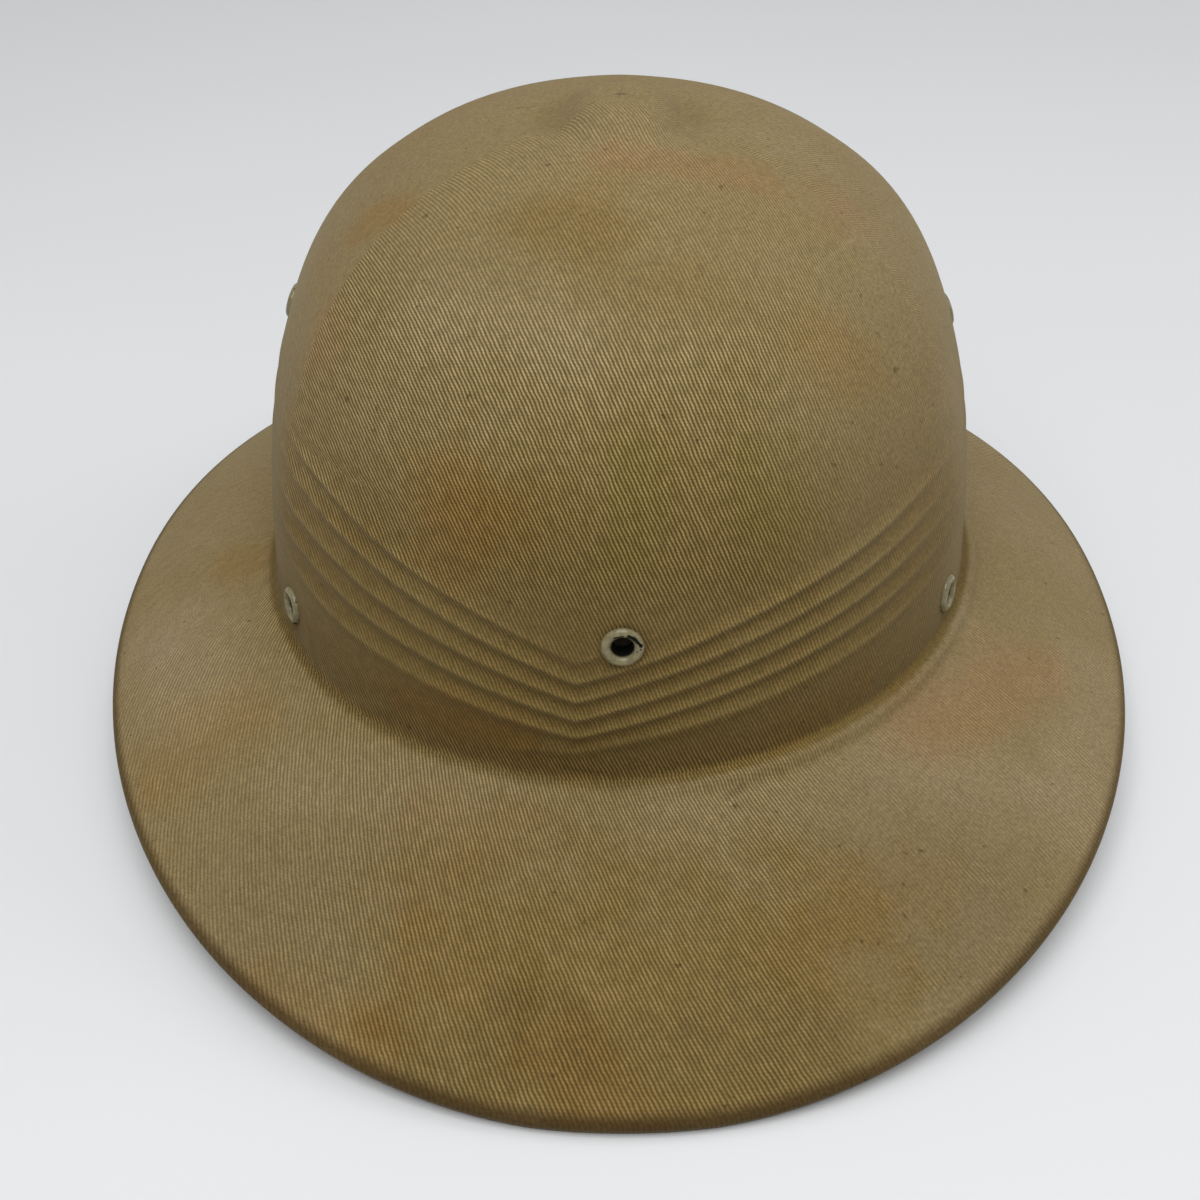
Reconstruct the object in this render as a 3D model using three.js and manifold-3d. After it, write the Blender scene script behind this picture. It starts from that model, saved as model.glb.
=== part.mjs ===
// A pith helmet: a pressed fibre shell, a twill cover glued over it and turned under the rim,
// and six painted vent eyelets. Millimetres, +Z up, the front towards -Y.
// The origin is on the ground, under the middle of the rim.
// Angles go round the crown's axis in degrees: 0 is the front, positive towards +X.
// Left and right are as seen by someone who faces the front.
import * as THREE from "three";
import { mergeVertices } from "three/addons/utils/BufferGeometryUtils.js";
import Module from "manifold-3d";

// Rim, from above and from the side
const RIM_WIDTH = 285;
const RIM_LENGTH = 343.8;
const RIM_SIDE_LIFT = 16.3; // how far the rim stands off the ground at each side
const RIM_LIFT_START = 0.12; // sine of the angle where the rim leaves the ground
const RIM_LIFT_POWER = 1.2;
const RIM_SETTLE = 1.1; // how much of the rim's round underside is pressed flat where it rests

// Crown
const AXIS_BACK = 1.2; // the crown's axis stands this far behind the middle of the rim
const CROWN_WIDTH = 193;
const CROWN_FRONT = 101; // from the axis to the front of the wall's foot
const CROWN_BACK = 97;
const CROWN_BACK_FLARE = 14; // extra reach of the back at the wall's foot
const CROWN_FLARE_POWER = 1.3;
const PLAN_POWER = 2.09; // 2 is an ellipse, more is squarer
const WALL_FOOT_Z = 38;
const DOME_TOP_Z = 163;
const DOME_TAPER = 0.09; // share of its width that the crown loses from foot to top
const DOME_RISE_POWER = 3.56;
const DOME_ROUND_POWER = 2.4;

// Button on the top, under the cover
const BUTTON_FOOT_RADIUS = 16;
const BUTTON_TOP_RADIUS = 9;
const BUTTON_HEIGHT = 4.5;
const BUTTON_EDGE_DROP = 0.6;

// Keels, where the crown's panels meet
const KEEL_ANGLES = [0, 60, 102, 180, -102, -60];
const KEEL_HEIGHT = 1.2;
const KEEL_HALF_WIDTH = 9; // degrees
const KEEL_FOOT_Z = 78;
const KEEL_FADE = 14;

// Crease between crown and brim, and the brim's section
const CREASE_FRONT_Z = 37.4;
const CREASE_SIDE_RISE = 6;
const CREASE_TILT = 3; // the crease is higher on the right and lower on the left
const CREASE_ROUND = 3; // from the corner to where the rounding ends, along wall and brim
const BRIM_BULGE = 2;

// Layers, from the outside in
const COVER_THICK = 1.1;
const GLUE_GAP = 0.3;
const SHELL_THICK = 2.2;
const HEM_WIDTH = 12;
const RIM_ROUND = 1.6;
const RIM_EDGE_IN = 0.4; // the point half way round each of the rim's rounded edges
const RIM_EDGE_DOWN = 0.6;

// Eyelets
const EYELET_RADIUS = 5;
const EYELET_HOLE_RADIUS = 2.5;
const EYELET_BARREL_RADIUS = 3;
const EYELET_INNER_RADIUS = 4.1;
const EYELET_PROUD = 1;
const EYELET_EDGE = 0.6; // bevels of the flange
const EYELET_CLENCH = 0.8; // thickness of the end turned over inside
const EYELET_GAP = 0.3;
const SEAT_STEP = 2; // mm and degrees to either side over which a seat's slope is taken
const POST_REACH = 12; // half length of the posts that cut and measure the eyelets' holes
const EYELETS = [
  { name: "eyelet_front", angle: 0, z: 77.4 },
  { name: "eyelet_left_front", angle: -60, z: 50.2 },
  { name: "eyelet_right_front", angle: 60, z: 54.1 },
  { name: "eyelet_left_rear", angle: -102, z: 103 },
  { name: "eyelet_right_rear", angle: 102, z: 100 },
  { name: "eyelet_rear", angle: 180, z: 77.4 },
];

// Pleats pressed round the crown's foot, from the top down. Each crest starts at its apex height
// at the front, climbs towards both sides and comes down again at the back.
// leftDepth and rightDepth are how far the crest stands out on that side.
const PLEATS = [
  { apexZ: 72.5, leftClimb: 30.1, rightClimb: 29.9, leftDepth: 1.3, rightDepth: 0 },
  { apexZ: 66.5, leftClimb: 28.7, rightClimb: 29.8, leftDepth: 1.3, rightDepth: 1.3 },
  { apexZ: 61.3, leftClimb: 24.5, rightClimb: 28.1, leftDepth: 1.3, rightDepth: 1.3 },
  { apexZ: 56, leftClimb: 21, rightClimb: 26.8, leftDepth: 1.3, rightDepth: 1.3 },
  { apexZ: 51, leftClimb: 16.6, rightClimb: 25.1, leftDepth: 1.3, rightDepth: 1.3 },
  { apexZ: 46.4, leftClimb: -4, rightClimb: 22.1, leftDepth: 0, rightDepth: 1.3 },
];
const PLEAT_APEX_ANGLE = -6; // the meridian where the two sides' pleats meet
const PLEAT_CLIMB_END = 64; // degrees from the apex where the climb ends
const PLEAT_CLIMB_POWER = 1.6;
const PLEAT_STEP = 0.24; // share of a pleat's height that its underside takes
const PLEAT_FADE_START = 50;
const PLEAT_FADE_END = 80;
const PLEAT_SIDE_DEPTH = 0.5; // share of its depth that a pleat keeps at the sides
const PLEAT_CROSSING = 18; // degrees over which a pleat of one side dies out
const SHOULDER_ABOVE_PLEATS = 6;

// Mesh
const MERIDIANS = 60;
const FINE_DOME_STEPS = [76, 66, 56, 46, 36, 26, 16, 7]; // degrees up the dome
const COARSE_DOME_STEPS = [76, 58, 40, 20];
const FINE_BRIM_SHARES = [0.72, 0.46, 0.2]; // distances in from the rim, as shares of the brim
const CREASE_FULLNESS = 0.4; // how near the rounding of the crease comes to its corner
const EYELET_SIDES = 12;
const MERGE_DISTANCE = 1e-4;

const TWILL = { color: 0x7d6c48, roughness: 0.95, metalness: 0 };
const FIBRE = { color: 0x8a7350, roughness: 0.9, metalness: 0 };
const EYELET_PAINT = { color: 0x8f866a, roughness: 0.45, metalness: 0.3 };

const wasm = await Module();
wasm.setup();

const radians = THREE.MathUtils.degToRad;
const smooth = THREE.MathUtils.smoothstep;

// Radius of a superellipse at an angle, with its own reach to the front and to the back.
function planRadius(angle, halfWidth, front, back) {
  const s = Math.abs(Math.sin(radians(angle))) / halfWidth;
  const cosine = Math.cos(radians(angle));
  const c = Math.abs(cosine) / (cosine > 0 ? front : back);
  return (s ** PLAN_POWER + c ** PLAN_POWER) ** (-1 / PLAN_POWER);
}

function wrap(angle) {
  return ((((angle + 180) % 360) + 360) % 360) - 180;
}

// How strong the keels are at an angle and a height, from 0 to 1.
function keel(angle, z) {
  const away = Math.min(...KEEL_ANGLES.map((k) => Math.abs(wrap(angle - k))));
  const rise = smooth(z, KEEL_FOOT_Z - KEEL_FADE, KEEL_FOOT_Z);
  const fall = 1 - smooth(z, DOME_TOP_Z - KEEL_FADE, DOME_TOP_Z);
  return Math.exp(-((away / KEEL_HALF_WIDTH) ** 2)) * rise * fall;
}

function crownFootRadius(angle, share) {
  const back = CROWN_BACK + CROWN_BACK_FLARE * (1 - share) ** CROWN_FLARE_POWER;
  return planRadius(angle, CROWN_WIDTH / 2, CROWN_FRONT, back);
}

// Radius of the crown's smooth surface at an angle and a height.
function crownRadius(angle, z) {
  const share = THREE.MathUtils.clamp((z - WALL_FOOT_Z) / (DOME_TOP_Z - WALL_FOOT_Z), 0, 1);
  const round = (1 - share ** DOME_RISE_POWER) ** (1 / DOME_ROUND_POWER);
  const plain = crownFootRadius(angle, share) * (1 - DOME_TAPER * share) * round;
  return plain + KEEL_HEIGHT * keel(angle, z);
}

// Height of the dome at a small radius near the top.
function domeHeight(angle, radius) {
  const round = radius / (crownFootRadius(angle, 1) * (1 - DOME_TAPER));
  const share = (1 - round ** DOME_ROUND_POWER) ** (1 / DOME_RISE_POWER);
  return WALL_FOOT_Z + (DOME_TOP_Z - WALL_FOOT_Z) * share;
}

// Degrees from the pleats' apex, at the front or at the back, whichever is nearer.
function fromApex(angle) {
  const away = Math.abs(wrap(angle - PLEAT_APEX_ANGLE));
  return Math.min(away, 180 - away);
}

// 1 on the right of the pleats' apex, 0 on the left, with a soft crossing.
function rightShare(angle) {
  const turned = wrap(angle - PLEAT_APEX_ANGLE);
  const side = smooth(fromApex(angle), 0, PLEAT_CROSSING) / 2;
  return turned > 0 ? 0.5 + side : 0.5 - side;
}

function pleatHeight(pleat, angle) {
  const share = Math.min(fromApex(angle) / PLEAT_CLIMB_END, 1);
  const climb = wrap(angle - PLEAT_APEX_ANGLE) > 0 ? pleat.rightClimb : pleat.leftClimb;
  return pleat.apexZ + climb * (1 - (1 - share) ** PLEAT_CLIMB_POWER);
}

function pleatDepth(pleat, angle) {
  const right = rightShare(angle);
  const depth = pleat.leftDepth * (1 - right) + pleat.rightDepth * right;
  const fade = smooth(fromApex(angle), PLEAT_FADE_START, PLEAT_FADE_END);
  return depth * (1 - (1 - PLEAT_SIDE_DEPTH) * fade);
}

function creaseHeight(angle) {
  const s = Math.sin(radians(angle));
  return CREASE_FRONT_Z + CREASE_SIDE_RISE * s * s + CREASE_TILT * s;
}

function rimLift(angle) {
  const s = Math.abs(Math.sin(radians(angle)));
  return RIM_SIDE_LIFT * Math.max(0, (s - RIM_LIFT_START) / (1 - RIM_LIFT_START)) ** RIM_LIFT_POWER;
}

const RIM_DEPTH = 2 * COVER_THICK + 2 * GLUE_GAP + SHELL_THICK;

// The brim's section at an angle: its corner with the wall, its slope and its length.
function brimSection(angle) {
  const half = RIM_LENGTH / 2;
  const edge = planRadius(angle, RIM_WIDTH / 2, half + AXIS_BACK, half - AXIS_BACK);
  const cornerZ = creaseHeight(angle);
  const corner = new THREE.Vector2(crownRadius(angle, cornerZ), cornerZ);
  const run = edge - corner.x;
  const guess = Math.atan2(cornerZ - rimLift(angle) - RIM_DEPTH, run);
  const topZ = rimLift(angle) - RIM_SETTLE + RIM_DEPTH * Math.cos(guess);
  const top = new THREE.Vector2(edge + RIM_ROUND * Math.sin(guess), topZ);
  const along = top.clone().sub(corner);
  const length = along.length();
  along.normalize();
  return { corner, along, up: new THREE.Vector2(-along.y, along.x), length };
}

// A point of the brim: distance in from the rim, and depth under the top surface.
function brimPoint(angle, inFromRim, depth) {
  const { corner, along, up, length } = brimSection(angle);
  const share = 1 - inFromRim / length;
  const bulge = BRIM_BULGE * Math.sin(Math.PI * share);
  return corner
    .clone()
    .addScaledVector(along, length - inFromRim)
    .addScaledVector(up, bulge - depth);
}

// A stretch of the crown's section, as points of radius and height on the outer surface.
function wallPoint(angle, z, depth = 0) {
  return new THREE.Vector2(crownRadius(angle, z) + depth, z);
}

function buttonPoints(angle) {
  const top = DOME_TOP_Z + BUTTON_HEIGHT;
  return [
    new THREE.Vector2(0, top),
    new THREE.Vector2(BUTTON_TOP_RADIUS, top - BUTTON_EDGE_DROP),
    new THREE.Vector2(BUTTON_FOOT_RADIUS, domeHeight(angle, BUTTON_FOOT_RADIUS)),
  ];
}

function domePoints(angle, steps) {
  const foot = pleatHeight(PLEATS[0], angle) + SHOULDER_ABOVE_PLEATS;
  const heights = steps.map((step) => foot + (DOME_TOP_Z - foot) * Math.sin(radians(step)));
  return [...heights, foot].map((z) => wallPoint(angle, z));
}

function pleatPoints(angle) {
  const crests = PLEATS.map((pleat) => pleatHeight(pleat, angle));
  crests.push(creaseHeight(angle) + CREASE_ROUND);
  return PLEATS.flatMap((pleat, i) => [
    wallPoint(angle, crests[i], pleatDepth(pleat, angle)),
    wallPoint(angle, crests[i] + (crests[i + 1] - crests[i]) * PLEAT_STEP),
  ]);
}

function creasePoints(angle) {
  const { corner, length } = brimSection(angle);
  const wall = wallPoint(angle, corner.y + CREASE_ROUND);
  const brim = brimPoint(angle, length - CREASE_ROUND, 0);
  const middle = wall.clone().lerp(brim, 0.5).lerp(corner, CREASE_FULLNESS);
  return { wall, middle, brim };
}

// The outer surface's section from the top to the start of the rim's rounding, with the pleats.
function fineSection(angle) {
  const { wall, middle, brim } = creasePoints(angle);
  const { length } = brimSection(angle);
  return [
    ...buttonPoints(angle),
    ...domePoints(angle, FINE_DOME_STEPS),
    ...pleatPoints(angle),
    wall,
    middle,
    brim,
    ...FINE_BRIM_SHARES.map((share) => brimPoint(angle, length * share, 0)),
    brimPoint(angle, RIM_ROUND, 0),
  ];
}

// The same section with few points and no pleats, for the layers underneath.
function plainSection(angle, withButton = true) {
  const { wall, brim } = creasePoints(angle);
  const { length } = brimSection(angle);
  const top = withButton ? buttonPoints(angle) : [new THREE.Vector2(0, DOME_TOP_Z)];
  const middleZ = (pleatHeight(PLEATS[2], angle) + wall.y) / 2;
  return [
    ...top,
    ...domePoints(angle, COARSE_DOME_STEPS),
    wallPoint(angle, middleZ),
    wall,
    brim,
    brimPoint(angle, length / 2, 0),
    brimPoint(angle, HEM_WIDTH, 0),
  ];
}

// A section moved inwards by a depth, square to itself.
function sunk(section, depth) {
  return section.map((p, i) => {
    const before = section[Math.max(i - 1, 0)];
    const after = section[Math.min(i + 1, section.length - 1)];
    const along = after.clone().sub(before).normalize();
    if (i === 0) along.set(1, 0);
    return new THREE.Vector2(p.x + along.y * depth, p.y - along.x * depth);
  });
}

// A closed solid from one section for each meridian. A section is an outer list of points, from
// the axis down to the rim, and an inner list back up to the axis.
// The quads of both lists are split along the same diagonal, so layers stay parallel.
function turnedSolid(sectionAt) {
  const sections = [];
  for (let i = 0; i < MERIDIANS; i++) sections.push(sectionAt(wrap((i * 360) / MERIDIANS)));
  const turnRow = sections[0].outer.length - 1;
  const rows = turnRow + 1 + sections[0].inner.length;
  const positions = [];
  const index = [];
  for (let row = 0; row < rows; row++)
    sections.forEach(({ outer, inner }, i) => {
      const angle = radians((i * 360) / MERIDIANS);
      const point = row > turnRow ? inner[row - turnRow - 1] : outer[row];
      const y = AXIS_BACK - point.x * Math.cos(angle);
      positions.push(point.x * Math.sin(angle), y, Math.max(point.y, 0));
    });
  for (let row = 0; row + 1 < rows; row++)
    for (let i = 0; i < MERIDIANS; i++) {
      const next = (i + 1) % MERIDIANS;
      const [a, b] = [row * MERIDIANS + i, row * MERIDIANS + next];
      const [c, d] = [a + MERIDIANS, b + MERIDIANS];
      const fromAxis = row === 0;
      const toAxis = row + 2 === rows;
      if (fromAxis) index.push(b, c, d);
      else if (toAxis) index.push(a, c, b);
      else if (row < turnRow) index.push(a, c, b, b, c, d);
      else index.push(a, c, d, a, d, b);
    }
  const geometry = new THREE.BufferGeometry();
  geometry.setAttribute("position", new THREE.Float32BufferAttribute(positions, 3));
  geometry.setIndex(index);
  return geometry;
}

function coverSection(angle) {
  const back = RIM_DEPTH - COVER_THICK;
  const rim = [
    [RIM_EDGE_IN, RIM_EDGE_DOWN],
    [0, RIM_ROUND],
    [0, RIM_DEPTH - RIM_ROUND],
    [RIM_EDGE_IN, RIM_DEPTH - RIM_EDGE_DOWN],
    [RIM_ROUND, RIM_DEPTH],
    [HEM_WIDTH, RIM_DEPTH],
    [HEM_WIDTH, back],
    [COVER_THICK, back],
    [COVER_THICK, COVER_THICK],
  ];
  const turn = rim.map(([inFromRim, depth]) => brimPoint(angle, inFromRim, depth));
  const outer = [...fineSection(angle), ...turn];
  return { outer, inner: sunk(plainSection(angle), COVER_THICK).reverse() };
}

function shellSection(angle) {
  const top = COVER_THICK + GLUE_GAP;
  const bottom = top + SHELL_THICK;
  const edge = [top, bottom].map((depth) => brimPoint(angle, top, depth));
  const outer = [...sunk(plainSection(angle), top), ...edge];
  return { outer, inner: sunk(plainSection(angle, false), bottom).reverse() };
}

function solidOf(geometry) {
  const plain = geometry.clone();
  plain.deleteAttribute("normal");
  plain.deleteAttribute("uv");
  const merged = mergeVertices(plain, MERGE_DISTANCE);
  const mesh = new wasm.Mesh({
    numProp: 3,
    vertProperties: merged.attributes.position.array,
    triVerts: new Uint32Array(merged.index.array),
  });
  return new wasm.Manifold(mesh);
}

function geometryOf(solid) {
  const { vertProperties, triVerts } = solid.getMesh();
  const geometry = new THREE.BufferGeometry();
  geometry.setAttribute("position", new THREE.BufferAttribute(vertProperties, 3));
  geometry.setIndex(new THREE.BufferAttribute(triVerts, 1));
  geometry.computeVertexNormals();
  return geometry;
}

function crownPlace(angle, z) {
  const radius = crownRadius(angle, z);
  const [x, y] = [radius * Math.sin(radians(angle)), -radius * Math.cos(radians(angle))];
  return new THREE.Vector3(x, y + AXIS_BACK, z);
}

// Where an eyelet sits: a place on the crown, turned so that its +Y points straight out.
function eyeletSeat({ angle, z }) {
  const step = SEAT_STEP;
  const up = crownPlace(angle, z + step).sub(crownPlace(angle, z - step));
  const round = crownPlace(angle + step, z).sub(crownPlace(angle - step, z));
  const out = round.cross(up).normalize();
  const turn = new THREE.Quaternion().setFromUnitVectors(new THREE.Vector3(0, 1, 0), out);
  return { place: crownPlace(angle, z), out, turn };
}

function post(seat, radius) {
  const cylinder = new THREE.CylinderGeometry(radius, radius, 2 * POST_REACH, EYELET_SIDES);
  cylinder.applyQuaternion(seat.turn);
  cylinder.translate(seat.place.x, seat.place.y, seat.place.z);
  return solidOf(cylinder);
}

// How far a solid reaches along an eyelet's axis, within a radius of it: [lowest, highest].
function reachAlong(solid, seat, radius) {
  const { numProp, vertProperties } = solid.intersect(post(seat, radius)).getMesh();
  const reach = [];
  const point = new THREE.Vector3();
  for (let i = 0; i < vertProperties.length; i += numProp)
    reach.push(point.fromArray(vertProperties, i).sub(seat.place).dot(seat.out));
  return [Math.min(...reach), Math.max(...reach)];
}

// An eyelet about +Y: a flange on the cover, a barrel through both layers, a clenched end inside.
function eyeletGeometry(inside, outside) {
  const innerSeat = inside - EYELET_GAP;
  const innerEnd = innerSeat - EYELET_CLENCH;
  const seat = outside + EYELET_GAP;
  const profile = [
    [EYELET_HOLE_RADIUS, innerEnd],
    [EYELET_INNER_RADIUS, innerEnd],
    [EYELET_INNER_RADIUS, innerSeat],
    [EYELET_BARREL_RADIUS, innerSeat],
    [EYELET_BARREL_RADIUS, seat],
    [EYELET_RADIUS, seat],
    [EYELET_RADIUS - EYELET_EDGE, seat + EYELET_PROUD],
    [EYELET_HOLE_RADIUS + EYELET_EDGE, seat + EYELET_PROUD],
    [EYELET_HOLE_RADIUS, seat + EYELET_PROUD - EYELET_EDGE],
  ];
  const points = [...profile, profile[0]].map(([r, a]) => new THREE.Vector2(r, a));
  return new THREE.LatheGeometry(points, EYELET_SIDES);
}

const seats = EYELETS.map(eyeletSeat);
const holes = seats.map((seat) => post(seat, EYELET_BARREL_RADIUS + EYELET_GAP));

function pierced(sectionAt) {
  return holes.reduce((solid, hole) => solid.subtract(hole), solidOf(turnedSolid(sectionAt)));
}

const shell = pierced(shellSection);
const cover = pierced(coverSection);
const helmet = new THREE.Group();

function addPiece(name, geometry, finish) {
  const mesh = new THREE.Mesh(geometry, new THREE.MeshStandardMaterial(finish));
  mesh.name = name;
  helmet.add(mesh);
  return mesh;
}

addPiece("fibre_shell", geometryOf(shell), FIBRE);
addPiece("twill_cover", geometryOf(cover), TWILL);

EYELETS.forEach(({ name }, i) => {
  const [inside] = reachAlong(shell, seats[i], EYELET_INNER_RADIUS);
  const [, outside] = reachAlong(cover, seats[i], EYELET_RADIUS);
  const eyelet = addPiece(name, eyeletGeometry(inside, outside), EYELET_PAINT);
  eyelet.position.copy(seats[i].place);
  eyelet.quaternion.copy(seats[i].turn);
});

export default helmet;
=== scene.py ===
"""A worn pith helmet in khaki twill, dressed over its CAD frame. Lengths are metres.

The front faces -Y. Angles go round the crown's axis from the front, positive towards +X.
The cloth, the pressed fibre under it and the six vent eyelets are each made by one operator.
"""

import math

import bpy
import numpy as np
from mathutils import Matrix, Vector


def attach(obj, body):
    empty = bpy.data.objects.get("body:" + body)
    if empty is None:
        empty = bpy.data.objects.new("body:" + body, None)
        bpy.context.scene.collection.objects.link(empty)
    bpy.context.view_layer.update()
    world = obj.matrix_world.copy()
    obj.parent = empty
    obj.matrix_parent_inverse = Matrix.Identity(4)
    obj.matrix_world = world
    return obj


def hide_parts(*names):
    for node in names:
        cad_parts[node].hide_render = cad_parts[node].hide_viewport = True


bl_info = {
    "name": "Pith Helmet",
    "version": (1, 0, 0),
    "blender": (4, 5, 0),
    "location": "View3D > Sidebar > Helmet",
    "description": "Builds a worn pith helmet: twill cover, fibre shell and vent eyelets",
    "category": "Object",
}

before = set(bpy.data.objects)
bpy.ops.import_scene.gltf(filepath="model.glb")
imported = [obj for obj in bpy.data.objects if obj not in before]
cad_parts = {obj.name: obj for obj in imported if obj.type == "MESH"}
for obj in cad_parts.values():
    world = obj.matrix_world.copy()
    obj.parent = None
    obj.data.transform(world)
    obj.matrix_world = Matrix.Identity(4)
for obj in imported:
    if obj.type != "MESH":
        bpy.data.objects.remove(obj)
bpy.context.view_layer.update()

MM = 0.001

# Rim, from above and from the side
RIM_WIDTH = 0.285
RIM_LENGTH = 0.3438
RIM_SIDE_LIFT = 0.0163
RIM_LIFT_START = 0.12
RIM_LIFT_POWER = 1.2
RIM_SETTLE = 0.0011

# Crown
AXIS_BACK = 0.0012
CROWN_WIDTH = 0.193
CROWN_FRONT = 0.101
CROWN_BACK = 0.097
CROWN_BACK_FLARE = 0.014
CROWN_FLARE_POWER = 1.3
PLAN_POWER = 2.09
WALL_FOOT_Z = 0.038
DOME_TOP_Z = 0.163
DOME_TAPER = 0.09
DOME_RISE_POWER = 3.56
DOME_ROUND_POWER = 2.4

# Button on the top, under the cloth
BUTTON_REACH = 0.024
BUTTON_FOOT_SIDE = 0.0155
BUTTON_FOOT_FRONT = 0.0225
BUTTON_TOP_RADIUS = 0.00595
BUTTON_HEIGHT = 0.0045
BUTTON_DENT = 0.0012
BUTTON_DENT_OUT = 0.0175
BUTTON_DENT_WIDTH = 0.0045
BUTTON_DENT_POWER = 3
DENT_ABOVE = 0.145

# Keels, where the crown's panels meet
KEEL_ANGLES = (0, 60, 102, 180, -102, -60)
KEEL_HEIGHT = 0.0012
KEEL_HALF_WIDTH = 9
KEEL_FOOT_Z = 0.078
KEEL_FADE = 0.014

# Crease between crown and brim
CREASE_FRONT_Z = 0.0374
CREASE_SIDE_RISE = 0.006
CREASE_TILT = 0.003
CREASE_ROUND = 0.003
BRIM_BULGE = 0.002

# The small ledge that the press left along the crease, on the right. It rises and fades over these
# angles, and its edge, with a painted highlight, and its foot, with painted shade, lie this far out from the
# wall.
LEDGE_START = (-8, 20)
LEDGE_END = (70, 100)
LEDGE_HEIGHT = 0.0019
LEDGE_OUT = 0.0024
LEDGE_FALL = 0.0030
LEDGE_SHARPNESS = 0.6
LEDGE_EDGE_OUT = 0.0010
LEDGE_FOOT_OUT = 0.0042

# Layers, from the outside in
COVER_THICK = 0.0011
GLUE_GAP = 0.0003
SHELL_THICK = 0.0022
HEM_WIDTH = 0.012
HEM_STEPS = (0.4, 0.7, 0.97)
HEM_EDGE_STEP = 0.3
RIM_ROUND = 0.0016
RIM_DEPTH = 2 * COVER_THICK + 2 * GLUE_GAP + SHELL_THICK

# Pleats pressed round the crown's foot, from the top down
PLEATS = [
    {"apex_z": 0.0725, "left_climb": 0.0301, "right_climb": 0.0299, "left_depth": 1, "right_depth": 0},
    {"apex_z": 0.0665, "left_climb": 0.0287, "right_climb": 0.0298, "left_depth": 1, "right_depth": 1},
    {"apex_z": 0.0613, "left_climb": 0.0245, "right_climb": 0.0281, "left_depth": 1, "right_depth": 1},
    {"apex_z": 0.0560, "left_climb": 0.0210, "right_climb": 0.0268, "left_depth": 1, "right_depth": 1},
    {"apex_z": 0.0510, "left_climb": 0.0166, "right_climb": 0.0251, "left_depth": 1, "right_depth": 1},
    {"apex_z": 0.0464, "left_climb": -0.004, "right_climb": 0.0221, "left_depth": 0, "right_depth": 1},
]
PLEAT_APEX_ANGLE = -6
PLEAT_CLIMB_END = 64
PLEAT_CLIMB_POWER = 1.6
PLEAT_SHARPNESS = 1.25
PLEAT_FADE = (40, 66)
PLEAT_SIDE_DEPTH = 0.18
PLEAT_CROSSING = 18
SHOULDER_ABOVE_PLEATS = 0.006

# Painted light on the cloth: a painted highlight on the pleats' crests and the ledge's edge, and painted
# shade in the folds under them
HIGHLIGHT_ABOVE = 0.0001
HIGHLIGHT_WIDTH = 0.0007
SHADE_BELOW = 0.0022
SHADE_WIDTH = 0.0012

# Ranges over which the masks of wear and of painted light and shade come and go: distances out from
# the wall, heights (Z), places (X, Y), the angle from the front, the radius and the distance in from the rim
WALL_END_OUT = (0.0012, 0.0030)
WALL_START_Z = (0.034, 0.040)
LEDGE_END_Z = (0.042, 0.048)
GRIME_AND_SHADE_Z = (0.062, 0.134)
FOOT_SHADE_Z = (0.044, 0.060)
HEM_SHADE = (0.0008, 0.0026)
FUZZ_BACK_Y = (0.03, 0.10)
FUZZ_RIGHT_X = (0.022, 0.062)
FUZZ_SIDE_ANGLE = (58, 66)
FUZZ_SIDE_Z = (0.045, 0.055)
FUZZ_TOP_Z = (0.132, 0.153)
FUZZ_LOW_Z = (0.040, 0.050)
FUZZ_LOW_END_Z = (0.075, 0.095)
FUZZ_LEFT_X = (0.03, 0.11)
FUZZ_BRIM_OUT = (0.098, 0.106)
FUZZ_BRIM_END_Z = (0.040, 0.046)

# How fuzzy the cloth is there, from 0 to 1; on the right and at the sides it is 1. The same mask
# lightens and blues the cloth as painted sheen.
FUZZ_TOP = 0.75
FUZZ_LOW = 0.62
FUZZ_BRIM = 0.38
FUZZ_LEFT_BRIM = 0.42

# How the threads lie on the crown: the side seams' angle, the sag of a panel's cross threads over
# the dome, and the slope, in radians, that counts as upright
SIDE_SEAM = 60
PANEL_SAG = 0.085
UPRIGHT = 1.5

# The meridian, between two keels, that the length of the crown's cloth is measured on
MERIDIAN_ANGLE = -45.0
MERIDIAN_TOP_ROWS = 8
MERIDIAN_FOOT_ZS = (0.07, 0.05, 0.03)

# How the threads lie on the brim: where it starts, how far they turn with it in front, from 0 to 1,
# the angles over which they come to turn with it altogether, the radius they are cut to, and a slant
BRIM_START_OUT = 0.0006
BRIM_START_ABOVE = 0.001
BRIM_TURN = 0.55
BRIM_TURN_ANGLES = (60, 125)
BRIM_RING = 0.118
BRIM_SLANT = 1.08

# Rows of the meshes
MERIDIANS = 400
BUTTON_ROWS = 14
DOME_ROWS = 52
SHOULDER_ROWS = 4
PLEAT_ROWS = 12
CREASE_ROWS = 10
BRIM_ROWS = 38
BRIM_ROW_POWER = 1.4
RIM_ROWS = 5
SHELL_MERIDIANS = 240
HOLE_SIDES = 48
SHADE_ANGLE = 50
EYELET_SHADE_ANGLE = 60
TINY = 1e-9

# Rows of the plainer layers under the cloth
PLAIN_TOP_ROWS = 5
PLAIN_DOME_ROWS = 12
PLAIN_WALL_SHARES = (0.2, 0.4, 0.6, 0.8)
COVER_BRIM_ROWS = 4
SHELL_BRIM_ROWS = 6
HOLLOW_DOME_ROWS = 34
HOLLOW_BRIM_ROWS = 14

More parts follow.
